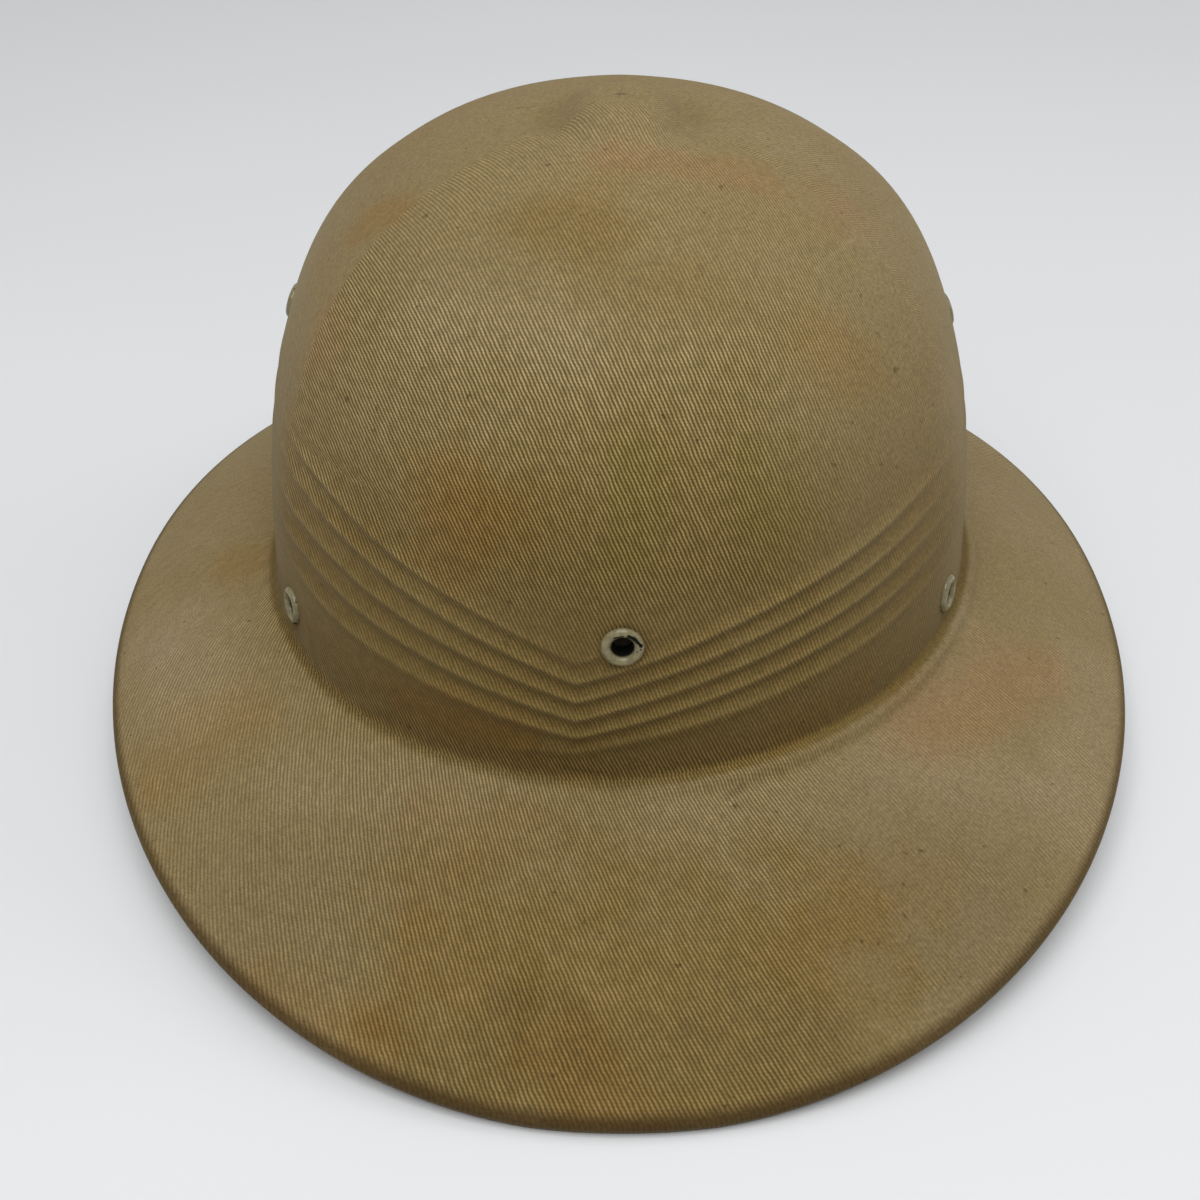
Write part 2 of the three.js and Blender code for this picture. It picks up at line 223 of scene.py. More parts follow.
# Eyelets: the node, the angle round the crown and the height of each
EYELETS = [
    {"node": "eyelet_front", "angle": 0, "z": 0.0774},
    {"node": "eyelet_left_front", "angle": -60, "z": 0.0502},
    {"node": "eyelet_right_front", "angle": 60, "z": 0.0541},
    {"node": "eyelet_left_rear", "angle": -102, "z": 0.103},
    {"node": "eyelet_right_rear", "angle": 102, "z": 0.100},
    {"node": "eyelet_rear", "angle": 180, "z": 0.0774},
]
EYELET_SIDES = 72
EYELET_CUT_RADIUS = 0.0032
# Inside the barrel, below the flange, the eyelet is near black: bare metal and painted shade in the hole
BARREL_SHADE_RADIUS = 0.0027
BARREL_SHADE_BELOW = -0.0003
# The ring of painted shade on the cloth round each eyelet: its radius and its width
SHADE_RING_RADIUS = 0.0049
SHADE_RING_WIDTH = 0.0006
EYELET_DIMPLE_RADIUS = 0.0062
EYELET_CUT_REACH = 0.01
SEAT_STEP = 0.002

# The eyelet's section, from the inner end up the barrel, over the flange and back down, in mm:
# radius, and height over the cloth. The last points are the end turned over inside.
EYELET_SECTION = [
    (2.60, -4.6), (2.50, -3.9), (2.50, -1.2), (2.56, -0.5), (2.74, 0.05), (3.04, 0.46), (3.42, 0.72),
    (3.84, 0.82), (4.26, 0.74), (4.62, 0.5), (4.86, 0.16), (4.98, -0.22), (4.94, -0.52), (4.60, -0.58),
    (3.10, -0.55), (3.00, -0.8), (3.00, -3.6), (3.40, -3.8), (4.05, -3.9), (4.10, -4.3), (3.60, -4.65),
]

# Chips in the front eyelet's paint: radius in mm, and the place or the stroke's two ends, each by the
# clock and the distance from the middle in mm
CHIPS = [
    (0.75, [(12.75, 3.60), (13.6, 3.80)]),
    (0.58, [(13.6, 3.80), (14.6, 4.35)]),
    (0.40, [(11.0, 3.50), (12.0, 3.30)]),
    (0.28, [(15.0, 4.05)]),
    (0.30, [(15.4, 3.35)]),
    (0.28, [(8.2, 4.45)]),
    (0.26, [(10.6, 3.30)]),
]
HOUR = math.tau / 12

# Camera, where the photo was taken from, and the lights, with their share of the main one's power
CAMERA_PLACE = (-0.00506, -0.37596, 0.30518)
CAMERA_TILT = 52.35
CAMERA_LENS = 48
SENSOR_WIDTH = 36
FLOOR_SIZE = 6.0
LIGHTS = [
    {"name": "window_light", "place": (-0.10, -0.55, 1.35), "size": 1.1, "share": 1.0},
    {"name": "top_light", "place": (0.15, 0.30, 1.5), "size": 1.4, "share": 0.25},
    {"name": "side_light", "place": (1.30, 0.15, 0.75), "size": 0.8, "share": 0.24},
]


def smooth(x, low, high):
    """0 below low, 1 above high, and an even S between them."""
    t = np.clip((x - low) / (high - low), 0, 1)
    return t * t * (3 - 2 * t)


def bell(x, width):
    """1 at zero, falling to 0 a few widths away."""
    return np.exp(-((x / width) ** 2))


def wrap(angle):
    """An angle in degrees, brought to between -180 and 180."""
    return (angle + 180) % 360 - 180


def plan_radius(angle, half_width, front, back):
    """Radius of a superellipse with its own reach to the front and to the back."""
    s = np.abs(np.sin(np.radians(angle))) / half_width
    cosine = np.cos(np.radians(angle))
    c = np.abs(cosine) / np.where(cosine > 0, front, back)
    return (s**PLAN_POWER + c**PLAN_POWER) ** (-1 / PLAN_POWER)


def keel(angle, z):
    """How strong the keels are at an angle and a height, from 0 to 1."""
    away = np.min([np.abs(wrap(angle - k)) for k in KEEL_ANGLES], axis=0)
    rise = smooth(z, KEEL_FOOT_Z - KEEL_FADE, KEEL_FOOT_Z)
    fall = 1 - smooth(z, DOME_TOP_Z - KEEL_FADE, DOME_TOP_Z)
    return bell(away, KEEL_HALF_WIDTH) * rise * fall


def crown_foot_radius(angle, share):
    back = CROWN_BACK + CROWN_BACK_FLARE * (1 - share) ** CROWN_FLARE_POWER
    return plan_radius(angle, CROWN_WIDTH / 2, CROWN_FRONT, back)


def crown_radius(angle, z):
    """Radius of the crown's smooth surface at an angle and a height."""
    share = np.clip((z - WALL_FOOT_Z) / (DOME_TOP_Z - WALL_FOOT_Z), 0, 1)
    rounding = (1 - share**DOME_RISE_POWER) ** (1 / DOME_ROUND_POWER)
    plain = crown_foot_radius(angle, share) * (1 - DOME_TAPER * share) * rounding
    return plain + KEEL_HEIGHT * keel(angle, z)


def dome_height(angle, radius):
    """Height of the dome at a small radius near the top."""
    share = radius / (crown_foot_radius(angle, 1) * (1 - DOME_TAPER))
    rise = (1 - share**DOME_ROUND_POWER) ** (1 / DOME_RISE_POWER)
    return WALL_FOOT_Z + (DOME_TOP_Z - WALL_FOOT_Z) * rise


def from_apex(angle):
    """Degrees from the pleats' apex, at the front or at the back, whichever is nearer."""
    away = np.abs(wrap(angle - PLEAT_APEX_ANGLE))
    return np.minimum(away, 180 - away)


def right_share(angle):
    """1 on the right of the pleats' apex, 0 on the left, with a soft crossing."""
    turned = wrap(angle - PLEAT_APEX_ANGLE)
    side = smooth(from_apex(angle), 0, PLEAT_CROSSING) / 2
    return np.where(turned > 0, 0.5 + side, 0.5 - side)


def pleat_height(pleat, angle):
    share = np.minimum(from_apex(angle) / PLEAT_CLIMB_END, 1)
    on_right = wrap(angle - PLEAT_APEX_ANGLE) > 0
    climb = np.where(on_right, pleat["right_climb"], pleat["left_climb"])
    return pleat["apex_z"] + climb * (1 - (1 - share) ** PLEAT_CLIMB_POWER)


def pleat_depth(pleat, angle, depth):
    right = right_share(angle)
    strength = pleat["left_depth"] * (1 - right) + pleat["right_depth"] * right
    fade = smooth(from_apex(angle), *PLEAT_FADE)
    return depth * strength * (1 - (1 - PLEAT_SIDE_DEPTH) * fade)


def crease_height(angle):
    s = np.sin(np.radians(angle))
    return CREASE_FRONT_Z + CREASE_SIDE_RISE * s * s + CREASE_TILT * s


def rim_lift(angle):
    s = np.abs(np.sin(np.radians(angle)))
    return RIM_SIDE_LIFT * (np.clip(s - RIM_LIFT_START, 0, 1) / (1 - RIM_LIFT_START)) ** RIM_LIFT_POWER


class BrimSection:
    """The brim's section at each angle: its corner with the wall, its slope and its length."""

    def __init__(self, angle):
        half = RIM_LENGTH / 2
        edge = plan_radius(angle, RIM_WIDTH / 2, half + AXIS_BACK, half - AXIS_BACK)
        corner_z = crease_height(angle)
        self.corner = np.array([crown_radius(angle, corner_z), corner_z])
        run = edge - self.corner[0]
        guess = np.arctan2(corner_z - rim_lift(angle) - RIM_DEPTH, run)
        top_z = rim_lift(angle) - RIM_SETTLE + RIM_DEPTH * np.cos(guess)
        top = np.array([edge + RIM_ROUND * np.sin(guess), top_z])
        along = top - self.corner
        self.length = np.hypot(*along)
        self.along = along / self.length
        self.up = np.array([-self.along[1], self.along[0]])

    def point(self, in_from_rim, depth):
        """A point of the brim: distance in from the rim, and depth under the top surface."""
        bulge = BRIM_BULGE * np.sin(np.pi * (1 - in_from_rim / self.length))
        return self.corner + self.along * (self.length - in_from_rim) + self.up * (bulge - depth)


def wall_point(angle, z, out=0.0):
    return np.array([crown_radius(angle, z) + out, z + 0 * angle])


def button_dent(angle, radius):
    """How strong the dents beside the button are at an angle and a radius, from 0 to 1."""
    beside = np.abs(np.sin(np.radians(angle))) ** BUTTON_DENT_POWER
    return beside * bell(radius - BUTTON_DENT_OUT, BUTTON_DENT_WIDTH)


def button_rows(angle, rows, raised=1):
    """The top, from the pole down: a low soft cone over the dome, or the bare dome if raised is 0."""
    points = []
    foot = BUTTON_FOOT_SIDE + (BUTTON_FOOT_FRONT - BUTTON_FOOT_SIDE) * np.cos(np.radians(angle)) ** 2
    for radius in np.linspace(0, BUTTON_REACH, rows, endpoint=False):
        rise = BUTTON_HEIGHT * (1 - smooth(radius, BUTTON_TOP_RADIUS, foot))
        dent = BUTTON_DENT * button_dent(angle, radius)
        points.append(np.array([radius + 0 * angle, dome_height(angle, radius) + raised * (rise - dent)]))
    return points


def dome_rows(angle, rows):
    """The dome from the button's foot down to the shoulder over the pleats."""
    foot = pleat_height(PLEATS[0], angle) + SHOULDER_ABOVE_PLEATS
    start = dome_height(angle, BUTTON_REACH)
    first = np.arcsin((start - foot) / (DOME_TOP_Z - foot))
    shares = np.linspace(1, 0, rows)
    return [wall_point(angle, foot + (DOME_TOP_Z - foot) * np.sin(first * share)) for share in shares]


def dimple(angle, z):
    """How far the cloth is pulled in round the eyelets."""
    pulled = 0 * angle
    for eyelet in EYELETS:
        across = np.radians(wrap(angle - eyelet["angle"])) * crown_radius(angle, z)
        away = np.hypot(across, z - eyelet["z"])
        pulled = np.maximum(pulled, np.exp(-((away / EYELET_DIMPLE_RADIUS) ** 4)))
    return pulled


def swell(share):
    """How far a pleat swells at a share of the way to its neighbour: 1 at its crest, 0 from halfway."""
    return ((1 + math.cos(2 * math.pi * min(share, 0.5))) / 2) ** PLEAT_SHARPNESS


def pleat_rows(angle, depth):
    """The shoulder and the pleats, with a shallow hollow between each crest and the next."""
    crests = [pleat_height(pleat, angle) for pleat in PLEATS]
    crests.append(crease_height(angle) + ledge(angle, 0) + crease_round(angle))
    depths = [pleat_depth(pleat, angle, depth) for pleat in PLEATS] + [0 * angle]
    points = []
    for row in range(1, SHOULDER_ROWS + 1):
        share = row / (SHOULDER_ROWS + 1)
        z = crests[0] + SHOULDER_ABOVE_PLEATS * (1 - share)
        points.append(wall_point(angle, z, depths[0] * share**2))
    for i in range(len(PLEATS)):
        for row in range(PLEAT_ROWS):
            share = row / PLEAT_ROWS
            out = depths[i] * swell(share) + depths[i + 1] * swell(1 - share)
            z = crests[i] + (crests[i + 1] - crests[i]) * share
            flat = 1 - dimple(angle, z)
            points.append(wall_point(angle, z, out * flat))
    return points


def crease_round(angle):
    """How wide the crease is rounded: less where the ledge runs along it."""
    return CREASE_ROUND * (1 - LEDGE_SHARPNESS * ledge(angle, 0) / LEDGE_HEIGHT)


def crease_rows(angle, brim, raised):
    """The rounding from the wall to the brim, or to the ledge on it."""
    corner_z = brim.corner[1] + raised
    wide = crease_round(angle)
    wall, corner = wall_point(angle, corner_z + wide), wall_point(angle, corner_z)
    start = brim.point(brim.length - wide, -raised)
    points = []
    for share in np.linspace(0, 1, CREASE_ROWS, endpoint=False):
        near = wall * (1 - share) + corner * share
        far = corner * (1 - share) + start * share
        points.append(near * (1 - share) + far * share)
    return points


def ledge(angle, out):
    """The raised ledge on the right of the crease, at a distance out along the brim."""
    side = smooth(angle, *LEDGE_START) * (1 - smooth(angle, *LEDGE_END))
    return LEDGE_HEIGHT * side * (1 - smooth(out, LEDGE_OUT, LEDGE_OUT + LEDGE_FALL))


def brim_rows(angle, brim):
    points = []
    for share in np.linspace(0, 1, BRIM_ROWS, endpoint=False) ** BRIM_ROW_POWER:
        out = crease_round(angle) + (brim.length - crease_round(angle) - RIM_ROUND) * share
        points.append(brim.point(brim.length - out, -ledge(angle, out)))
    return points


def rim_rows(brim):
    """Round the edge: down the outside with two soft corners, and in along the hem."""
    turn = np.radians(np.linspace(0, 90, RIM_ROWS))
    steps = [(RIM_ROUND * (1 - math.sin(t)), RIM_ROUND * (1 - math.cos(t))) for t in turn]
    steps += [(inward, RIM_DEPTH - down) for inward, down in reversed(steps)]
    steps += [(HEM_WIDTH * share, RIM_DEPTH) for share in HEM_STEPS]
    steps += [(HEM_WIDTH, RIM_DEPTH - HEM_EDGE_STEP * COVER_THICK), (HEM_WIDTH, RIM_DEPTH - COVER_THICK)]
    steps += [(COVER_THICK, RIM_DEPTH - COVER_THICK), (COVER_THICK, COVER_THICK)]
    return [brim.point(*step) for step in steps]


def plain_rows(angle, brim, dome_count, brim_count, raised=1):
    """The same section with no pleats, for what lies under the cloth."""
    points = button_rows(angle, PLAIN_TOP_ROWS, raised) + dome_rows(angle, dome_count)
    foot = pleat_height(PLEATS[0], angle) + SHOULDER_ABOVE_PLEATS
    wall_z = brim.corner[1] + CREASE_ROUND
    points += [wall_point(angle, foot + (wall_z - foot) * share) for share in PLAIN_WALL_SHARES]
    points += crease_rows(angle, brim, 0)[::2]
    for share in np.linspace(0, 1, brim_count):
        out = CREASE_ROUND + (brim.length - CREASE_ROUND - HEM_WIDTH) * share
        points.append(brim.point(brim.length - out, 0))
    return points


def sunk(rows, depth):
    """A section moved inwards by a depth, square to itself."""
    rows = np.array(rows)
    along = np.roll(rows, -1, axis=0) - np.roll(rows, 1, axis=0)
    along[0] = rows[1] - rows[0]
    along[0, 1] = 0
    along[-1] = rows[-1] - rows[-2]
    along /= np.maximum(np.hypot(along[:, 0], along[:, 1]), TINY)[:, None]
    moved = rows + depth * np.stack([along[:, 1], -along[:, 0]], axis=1)
    return list(moved)


def cover_rows(angle, depth):
    brim = BrimSection(angle)
    outer = button_rows(angle, BUTTON_ROWS) + dome_rows(angle, DOME_ROWS) + pleat_rows(angle, depth)
    outer += crease_rows(angle, brim, ledge(angle, 0)) + brim_rows(angle, brim) + rim_rows(brim)
    inner = sunk(plain_rows(angle, brim, PLAIN_DOME_ROWS, COVER_BRIM_ROWS), COVER_THICK)
    return outer + inner[::-1]


def shell_rows(angle):
    brim = BrimSection(angle)
    top = COVER_THICK + GLUE_GAP
    bottom = top + SHELL_THICK
    outer = sunk(plain_rows(angle, brim, PLAIN_DOME_ROWS, SHELL_BRIM_ROWS), top)
    edge = [brim.point(top, top), brim.point(top, bottom)]
    inner = sunk(plain_rows(angle, brim, HOLLOW_DOME_ROWS, HOLLOW_BRIM_ROWS, raised=0), bottom)
    return outer + edge + inner[::-1]


def seat_of(eyelet):
    """Where an eyelet sits: its place on the crown and the direction straight out."""

    def place(angle, z):
        radius = float(crown_radius(np.array(angle), z))
        a = math.radians(angle)
        return Vector((radius * math.sin(a), AXIS_BACK - radius * math.cos(a), z))

    angle, z = eyelet["angle"], eyelet["z"]
    up = place(angle, z + SEAT_STEP) - place(angle, z - SEAT_STEP)
    step = SEAT_STEP / MM
    across = place(angle + step, z) - place(angle - step, z)
    return place(angle, z), across.cross(up).normalized()


def reach_out(node, place, out):
    """How far a CAD node reaches along a direction from a place."""
    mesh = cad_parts[node].data
    return max((v.co - place).dot(out) for v in mesh.vertices)


def top_of(eyelet):
    """The middle of an eyelet's flange top, and the directions out, across and up from it."""
    place, out = seat_of(eyelet)
    across = Vector((0, 0, 1)).cross(out).normalized()
    return place + out * reach_out(eyelet["node"], place, out), out, across, out.cross(across)


def clean_slate():
    """Leaves edit mode and selects nothing."""
    if bpy.context.object and bpy.context.object.mode != "OBJECT":
        bpy.ops.object.mode_set(mode="OBJECT")
    bpy.ops.object.select_all(action="DESELECT")


def name_piece(name):
    piece = bpy.context.object
    piece.name = name
    piece.data.name = name
    return piece


def press(name, meridians, rows_of):
    """A closed skin: a sphere with one ring for each row of a section, pressed into its place."""
    angles = np.arange(meridians) * 360 / meridians
    rows = np.array(rows_of(wrap(angles)))
    clean_slate()
    bpy.ops.mesh.primitive_uv_sphere_add(segments=meridians, ring_count=len(rows) - 1, radius=1)
    piece = name_piece(name)
    co = np.empty(len(piece.data.vertices) * 3)
    piece.data.vertices.foreach_get("co", co)
    co = co.reshape(-1, 3)
    row = np.rint(np.arccos(np.clip(co[:, 2], -1, 1)) / np.pi * (len(rows) - 1)).astype(int)
    turn = np.degrees(np.arctan2(co[:, 0], -co[:, 1]))
    column = np.rint(turn / 360 * meridians).astype(int) % meridians
    radius, z = rows[row, 0, column], rows[row, 1, column]
    pole = (row == 0) | (row == len(rows) - 1)
    angle = np.radians(angles[column])
    co[:, 0] = np.where(pole, 0, radius * np.sin(angle))
    co[:, 1] = AXIS_BACK - np.where(pole, 0, radius * np.cos(angle))
    co[:, 2] = np.maximum(np.where(pole, rows[row, 1].mean(axis=1), z), 0)
    piece.data.vertices.foreach_set("co", co.ravel())
    piece.data.update()
    return piece


def punch_holes(piece, radius):
    """Cuts the eyelets' holes through a skin."""
    clean_slate()
    for eyelet in EYELETS:
        place, out = seat_of(eyelet)
        bpy.ops.mesh.primitive_cylinder_add(vertices=HOLE_SIDES, radius=radius, depth=2 * EYELET_CUT_REACH)
        bpy.context.object.rotation_euler = out.to_track_quat("Z", "Y").to_euler()
        bpy.context.object.location = place
        bpy.ops.object.transform_apply(location=True, rotation=True, scale=True)
        cutter = bpy.context.object
        clean_slate()
        bpy.context.view_layer.objects.active = piece
        bpy.ops.object.modifier_add(type="BOOLEAN")
        cut = piece.modifiers[-1]
        cut.operation = "DIFFERENCE"
        cut.solver = "MANIFOLD"
        cut.object = cutter
        bpy.ops.object.modifier_apply(modifier=cut.name)
        bpy.data.objects.remove(cutter)


def smooth_shade(piece, degrees):
    clean_slate()
    piece.select_set(True)
    bpy.context.view_layer.objects.active = piece
    bpy.ops.object.shade_smooth_by_angle(angle=math.radians(degrees))


def mean_meridian():
    """Down a mean meridian of the crown, without its button: heights, the cloth's length from the
    top to each, and how far the surface faces up there, in radians."""
    angle = np.array([MERIDIAN_ANGLE])
    rows = button_rows(angle, MERIDIAN_TOP_ROWS, raised=0) + dome_rows(angle, DOME_ROWS)
    rows = np.array(rows)[:, :, 0]
    foot = np.array([[crown_radius(angle, z)[0], z] for z in MERIDIAN_FOOT_ZS])
    path = np.concatenate([rows, foot])
    steps = np.diff(path, axis=0)
    lengths = np.concatenate([[0], np.cumsum(np.hypot(*steps.T))])
    facing = np.arctan2(steps[:, 0], -steps[:, 1])
    return path[::-1, 1], lengths[::-1], np.append(facing, facing[-1])[::-1]


def lay_cloth(piece):
    """Gives the cloth its UV map, in metres along its threads: one panel for the crown's front and
    one for each side of its back, and one ring for the brim, each drawn a little to its shape."""
    mesh = piece.data
    layer = mesh.uv_layers[0] if mesh.uv_layers else mesh.uv_layers.new()
    layer.name = "threads"
    count = len(mesh.loops)
    co = np.empty(len(mesh.vertices) * 3)
    mesh.vertices.foreach_get("co", co)
    co = co.reshape(-1, 3)
    corner = np.empty(count, int)
    mesh.loops.foreach_get("vertex_index", corner)
    sizes = np.empty(len(mesh.polygons), int)
    mesh.polygons.foreach_get("loop_total", sizes)
    centres = np.empty(len(mesh.polygons) * 3)
    mesh.polygons.foreach_get("center", centres)
    centre = np.repeat(centres.reshape(-1, 3), sizes, axis=0)
    point = co[corner]
    middle = np.degrees(np.arctan2(centre[:, 0], AXIS_BACK - centre[:, 1]))
    panel = np.where(np.abs(middle) < SIDE_SEAM, 0, 2 * SIDE_SEAM * np.sign(middle))
    turn = np.degrees(np.arctan2(point[:, 0], AXIS_BACK - point[:, 1]))
    radius = np.hypot(point[:, 0], point[:, 1] - AXIS_BACK)
    heights, lengths, facings = mean_meridian()
    across = np.radians(wrap(turn - panel))
    dome_z = dome_height(turn, np.minimum(radius, BUTTON_REACH))
    bare_z = np.where(radius < BUTTON_REACH, dome_z, point[:, 2])
    facing = np.interp(bare_z, heights, facings)
    sag = facing - np.arctan(np.tan(np.minimum(facing, UPRIGHT)) * np.cos(across))
    crown_u = np.where((panel == 0) & (point[:, 0] < 0), point[:, 0], across * radius)
    crown_v = PANEL_SAG * sag - np.interp(bare_z, heights, lengths)
    out = np.hypot(centre[:, 0], centre[:, 1] - AXIS_BACK)
    crease_z = crease_height(middle) + ledge(middle, 0)
    past_wall = out > crown_radius(middle, crease_z) + BRIM_START_OUT
    on_brim = past_wall & (centre[:, 2] < crease_z + BRIM_START_ABOVE)
    turned = wrap(turn - middle) + middle
    ring_share = BRIM_TURN + (1 - BRIM_TURN) * smooth(np.abs(turned), *BRIM_TURN_ANGLES)
    foot_v = -np.interp(CREASE_FRONT_Z, heights, lengths)
    ring_u, ring_v = BRIM_RING * np.radians(turned), CROWN_FRONT - radius
    flat_u, flat_v = point[:, 0], point[:, 1] + CROWN_FRONT - AXIS_BACK
    brim_u = flat_u + (ring_u - flat_u) * ring_share
    brim_v = foot_v + (flat_v + (ring_v - flat_v) * ring_share) * BRIM_SLANT
    uv = np.stack([np.where(on_brim, brim_u, crown_u), np.where(on_brim, brim_v, crown_v)], axis=1)
    layer.data.foreach_set("uv", uv.ravel())


def mark_wear_and_shading(piece):
    """Gives the cloth its masks of wear and of painted light, from 0 to 1: a painted highlight on the
    crests, painted shade in the folds, at the ledge's foot, in the dents beside the button and round the
    eyelets, a band of grime and painted shade over the crease, painted shade at the foot of the wall in
    it, the fuzzy places with their painted sheen, and the hem with its painted shade."""
    mesh = piece.data
    co = np.empty(len(mesh.vertices) * 3)
    mesh.vertices.foreach_get("co", co)
    x, y, z = co.reshape(-1, 3).T
    angle = np.degrees(np.arctan2(x, AXIS_BACK - y))
    radius = np.hypot(x, y - AXIS_BACK)
    half = RIM_LENGTH / 2
    to_rim = plan_radius(angle, RIM_WIDTH / 2, half + AXIS_BACK, half - AXIS_BACK) - radius
    from_wall = radius - crown_radius(angle, np.maximum(z, WALL_FOOT_Z))
    on_wall = (1 - smooth(from_wall, *WALL_END_OUT)) * smooth(z, *WALL_START_Z)
    crest, groove = 0 * x, 0 * x
    for pleat in PLEATS:
        above = z - pleat_height(pleat, angle)
        strength = pleat_depth(pleat, angle, 1.0)
        # A painted highlight along each pleat's crest
        crest = np.maximum(crest, strength * bell(above - HIGHLIGHT_ABOVE, HIGHLIGHT_WIDTH))
        # Painted shade in the fold under each crest
        groove = np.maximum(groove, strength * bell(above + SHADE_BELOW, SHADE_WIDTH))
    out = radius - crown_radius(angle, crease_height(angle))
    on_ledge = ledge(angle, 0) / LEDGE_HEIGHT * (1 - smooth(z, *LEDGE_END_Z))
    # A painted highlight along the ledge's edge, and painted shade at its foot
    ledge_highlight = on_ledge * bell(out - LEDGE_EDGE_OUT, HIGHLIGHT_WIDTH)
    ledge_shade = on_ledge * bell(out - LEDGE_FOOT_OUT, SHADE_WIDTH)
    # Painted shade in the dents beside the button
    dents = button_dent(angle, radius) * (z > DENT_ABOVE)
    ahead = 1 - smooth(y, *FUZZ_BACK_Y)
    fuzz_low = FUZZ_LOW * smooth(z, *FUZZ_LOW_Z) * (1 - smooth(z, *FUZZ_LOW_END_Z)) * on_wall
    fuzz_brim = FUZZ_BRIM + FUZZ_LEFT_BRIM * smooth(-x, *FUZZ_LEFT_X)
    fuzz_brim = fuzz_brim * smooth(radius, *FUZZ_BRIM_OUT) * (1 - smooth(z, *FUZZ_BRIM_END_Z))
    # Fuzzy places, which the cloth's material also lightens and blues as painted sheen
    fuzz_and_sheen = [
        smooth(x, *FUZZ_RIGHT_X) * ahead,
        smooth(np.abs(angle), *FUZZ_SIDE_ANGLE) * smooth(z, *FUZZ_SIDE_Z) * ahead,
        FUZZ_TOP * smooth(z, *FUZZ_TOP_Z),
        fuzz_low,
        fuzz_brim,
    ]
    masks = {
        # The crest mask is a painted highlight; the groove mask is painted shade
        "crest": np.maximum(crest * on_wall, ledge_highlight),
        "groove": np.max([groove * on_wall, ledge_shade, dents], axis=0),
        # Grime and painted shade over the crease, darker downwards
        "grime": (1 - smooth(z, *GRIME_AND_SHADE_Z)) * on_wall,
        "fuzz_and_sheen": np.max(fuzz_and_sheen, axis=0),
        # Painted shade at the foot of the wall, in the crease
        "foot": (1 - smooth(z, *FOOT_SHADE_Z)) * on_wall,
        # Painted shade on the hem and the rim's edge
        "hem": 1 - smooth(to_rim, *HEM_SHADE),
    }
    # A thin ring of painted shade on the cloth round each eyelet
    for eyelet in EYELETS:
        place, _ = seat_of(eyelet)
        away = np.linalg.norm(co.reshape(-1, 3) - np.array(place), axis=1)
        ring = bell(away - SHADE_RING_RADIUS, SHADE_RING_WIDTH)
        masks["groove"] = np.maximum(masks["groove"], ring)
    for name, values in masks.items():
        layer = mesh.attributes.new(name, "FLOAT", "POINT")
        layer.data.foreach_set("value", values.astype(np.float32))


# Noises of the finishes: scale, octaves and roughness, and how the fibre's is stretched
THREAD_BEND = (260.0, 2.0, 0.65)
SLUB_NOISE = (1.0, 2.0)
CLOTH_CLOUD = (16.0, 4.0, 0.6)
CLOTH_TATTER = (70.0, 4.0, 0.65)
CLOTH_NAP = (1100.0, 2.0, 0.7)
CLOTH_SPECKS = (420.0, 2.0, 0.4)
FIBRE_CLOUD = (30.0, 5.0, 0.6)
FIBRE_THREADS = (700.0, 4.0, 0.7)
PAINT_CHIPS = (520.0, 3.0, 0.5)
PAINT_TATTER = (2600.0, 3.0, 0.6)
PAINT_GRIME = (700.0, 3.0, 0.6)
FLOOR_CLOUD = (3.0, 2.0)
FIBRE_STRETCH = (1.0, 0.35, 0.7)

# The twill: how far the wales wander, in pitches, the length of a stitch in pitches, how far the
# stitches of neighbouring wales are out of step, and how often a thread grows thick and thin
WANDER = 0.65
STITCH_PITCH = 0.9
STITCH_STAGGER = 0.5
SLUB_ROW_STEP = 0.37
SLUB_PER_METRE = 300.0

# What the noises give: from one value of the noise to another, and the results there, or 0 and 1
SLUB_RIB = (0.25, 0.75, 0.70, 1.2)
FUZZ_PATCHES = (0.25, 0.6, 0.7, 1.0)
NAP_LINT = (0.25, 0.75, -0.16, 0.16)
CLOUD_PALE = (0.50, 0.72, 0.0, 0.5)
CLOUD_RUST = (0.46, 0.30, 0.0, 0.35)
SPECKS_SOOT = (0.71, 0.80, 0.0, 0.6)
FIBRE_CLOUDED = (0.3, 0.7)
FIBRE_LIGHTER = (0.5, 0.72, 0.0, 0.5)
FIBRE_ROUGH = (0.2, 0.8, 0.75, 0.92)
PAINT_DIRTY = (0.35, 0.7)
PAINT_ROUGH = (0.3, 0.8, 0.4, 0.6)
CHIP_CORE = (0.25, 0.45)
CHIP_EDGE = 0.02

# How deep the stitches dent a wale, how round a wale is, how far fuzz hides and flattens the weave,
# how bright fuzz is between groove and wale, and how much lint and nap show
BEAD_DEPTH = 0.25
WALE_POWER = 0.9
FUZZ_HIDES = 0.85
FUZZ_FLATTENS = 0.75
FUZZ_LEVEL = (0.40, 0.40, 0.40, 1)
LINT_ON_WEAVE = 0.45
LINT_ON_FUZZ = 0.7
NAP_HEIGHT = 0.25

# The eyelets' paint: how rough a chip is, how thick the grime lies, and how strong the gloss is
CHIP_ROUGH = 0.75
GRIME_HEIGHT = 0.15
PAINT_GLOSS = 0.7

# Colours of the fibre, of the metal under the eyelets' paint, also the barrels' inside as bare metal
# and painted shade, of the floor, and of the room from low to high
FIBRE_DARK = (0.20, 0.145, 0.08, 1)
FIBRE_BROWN = (0.30, 0.22, 0.13, 1)
FIBRE_PALE = (0.40, 0.32, 0.2, 1)
BARE_METAL = (0.006, 0.005, 0.004, 1)
FLOOR_DARKER = (0.74, 0.75, 0.76, 1)
FLOOR_LIGHTER = (0.78, 0.79, 0.80, 1)
ROOM_LOW = (0.30, 0.29, 0.27, 1)
ROOM_HIGH = (0.96, 0.98, 1.0, 1)
ROOM_RISE = (-0.1, 1.0)

# A mark's outline: how far its edge tatters, and where it is full and where it ends, in radii
MARK_TATTER = 1.4
MARK_CORE = 0.2
MARK_END = 1.1

# A Mix node's sockets for colours
MIX_SHARE, MIX_FIRST, MIX_SECOND, MIX_COLOUR = 0, 6, 7, 2


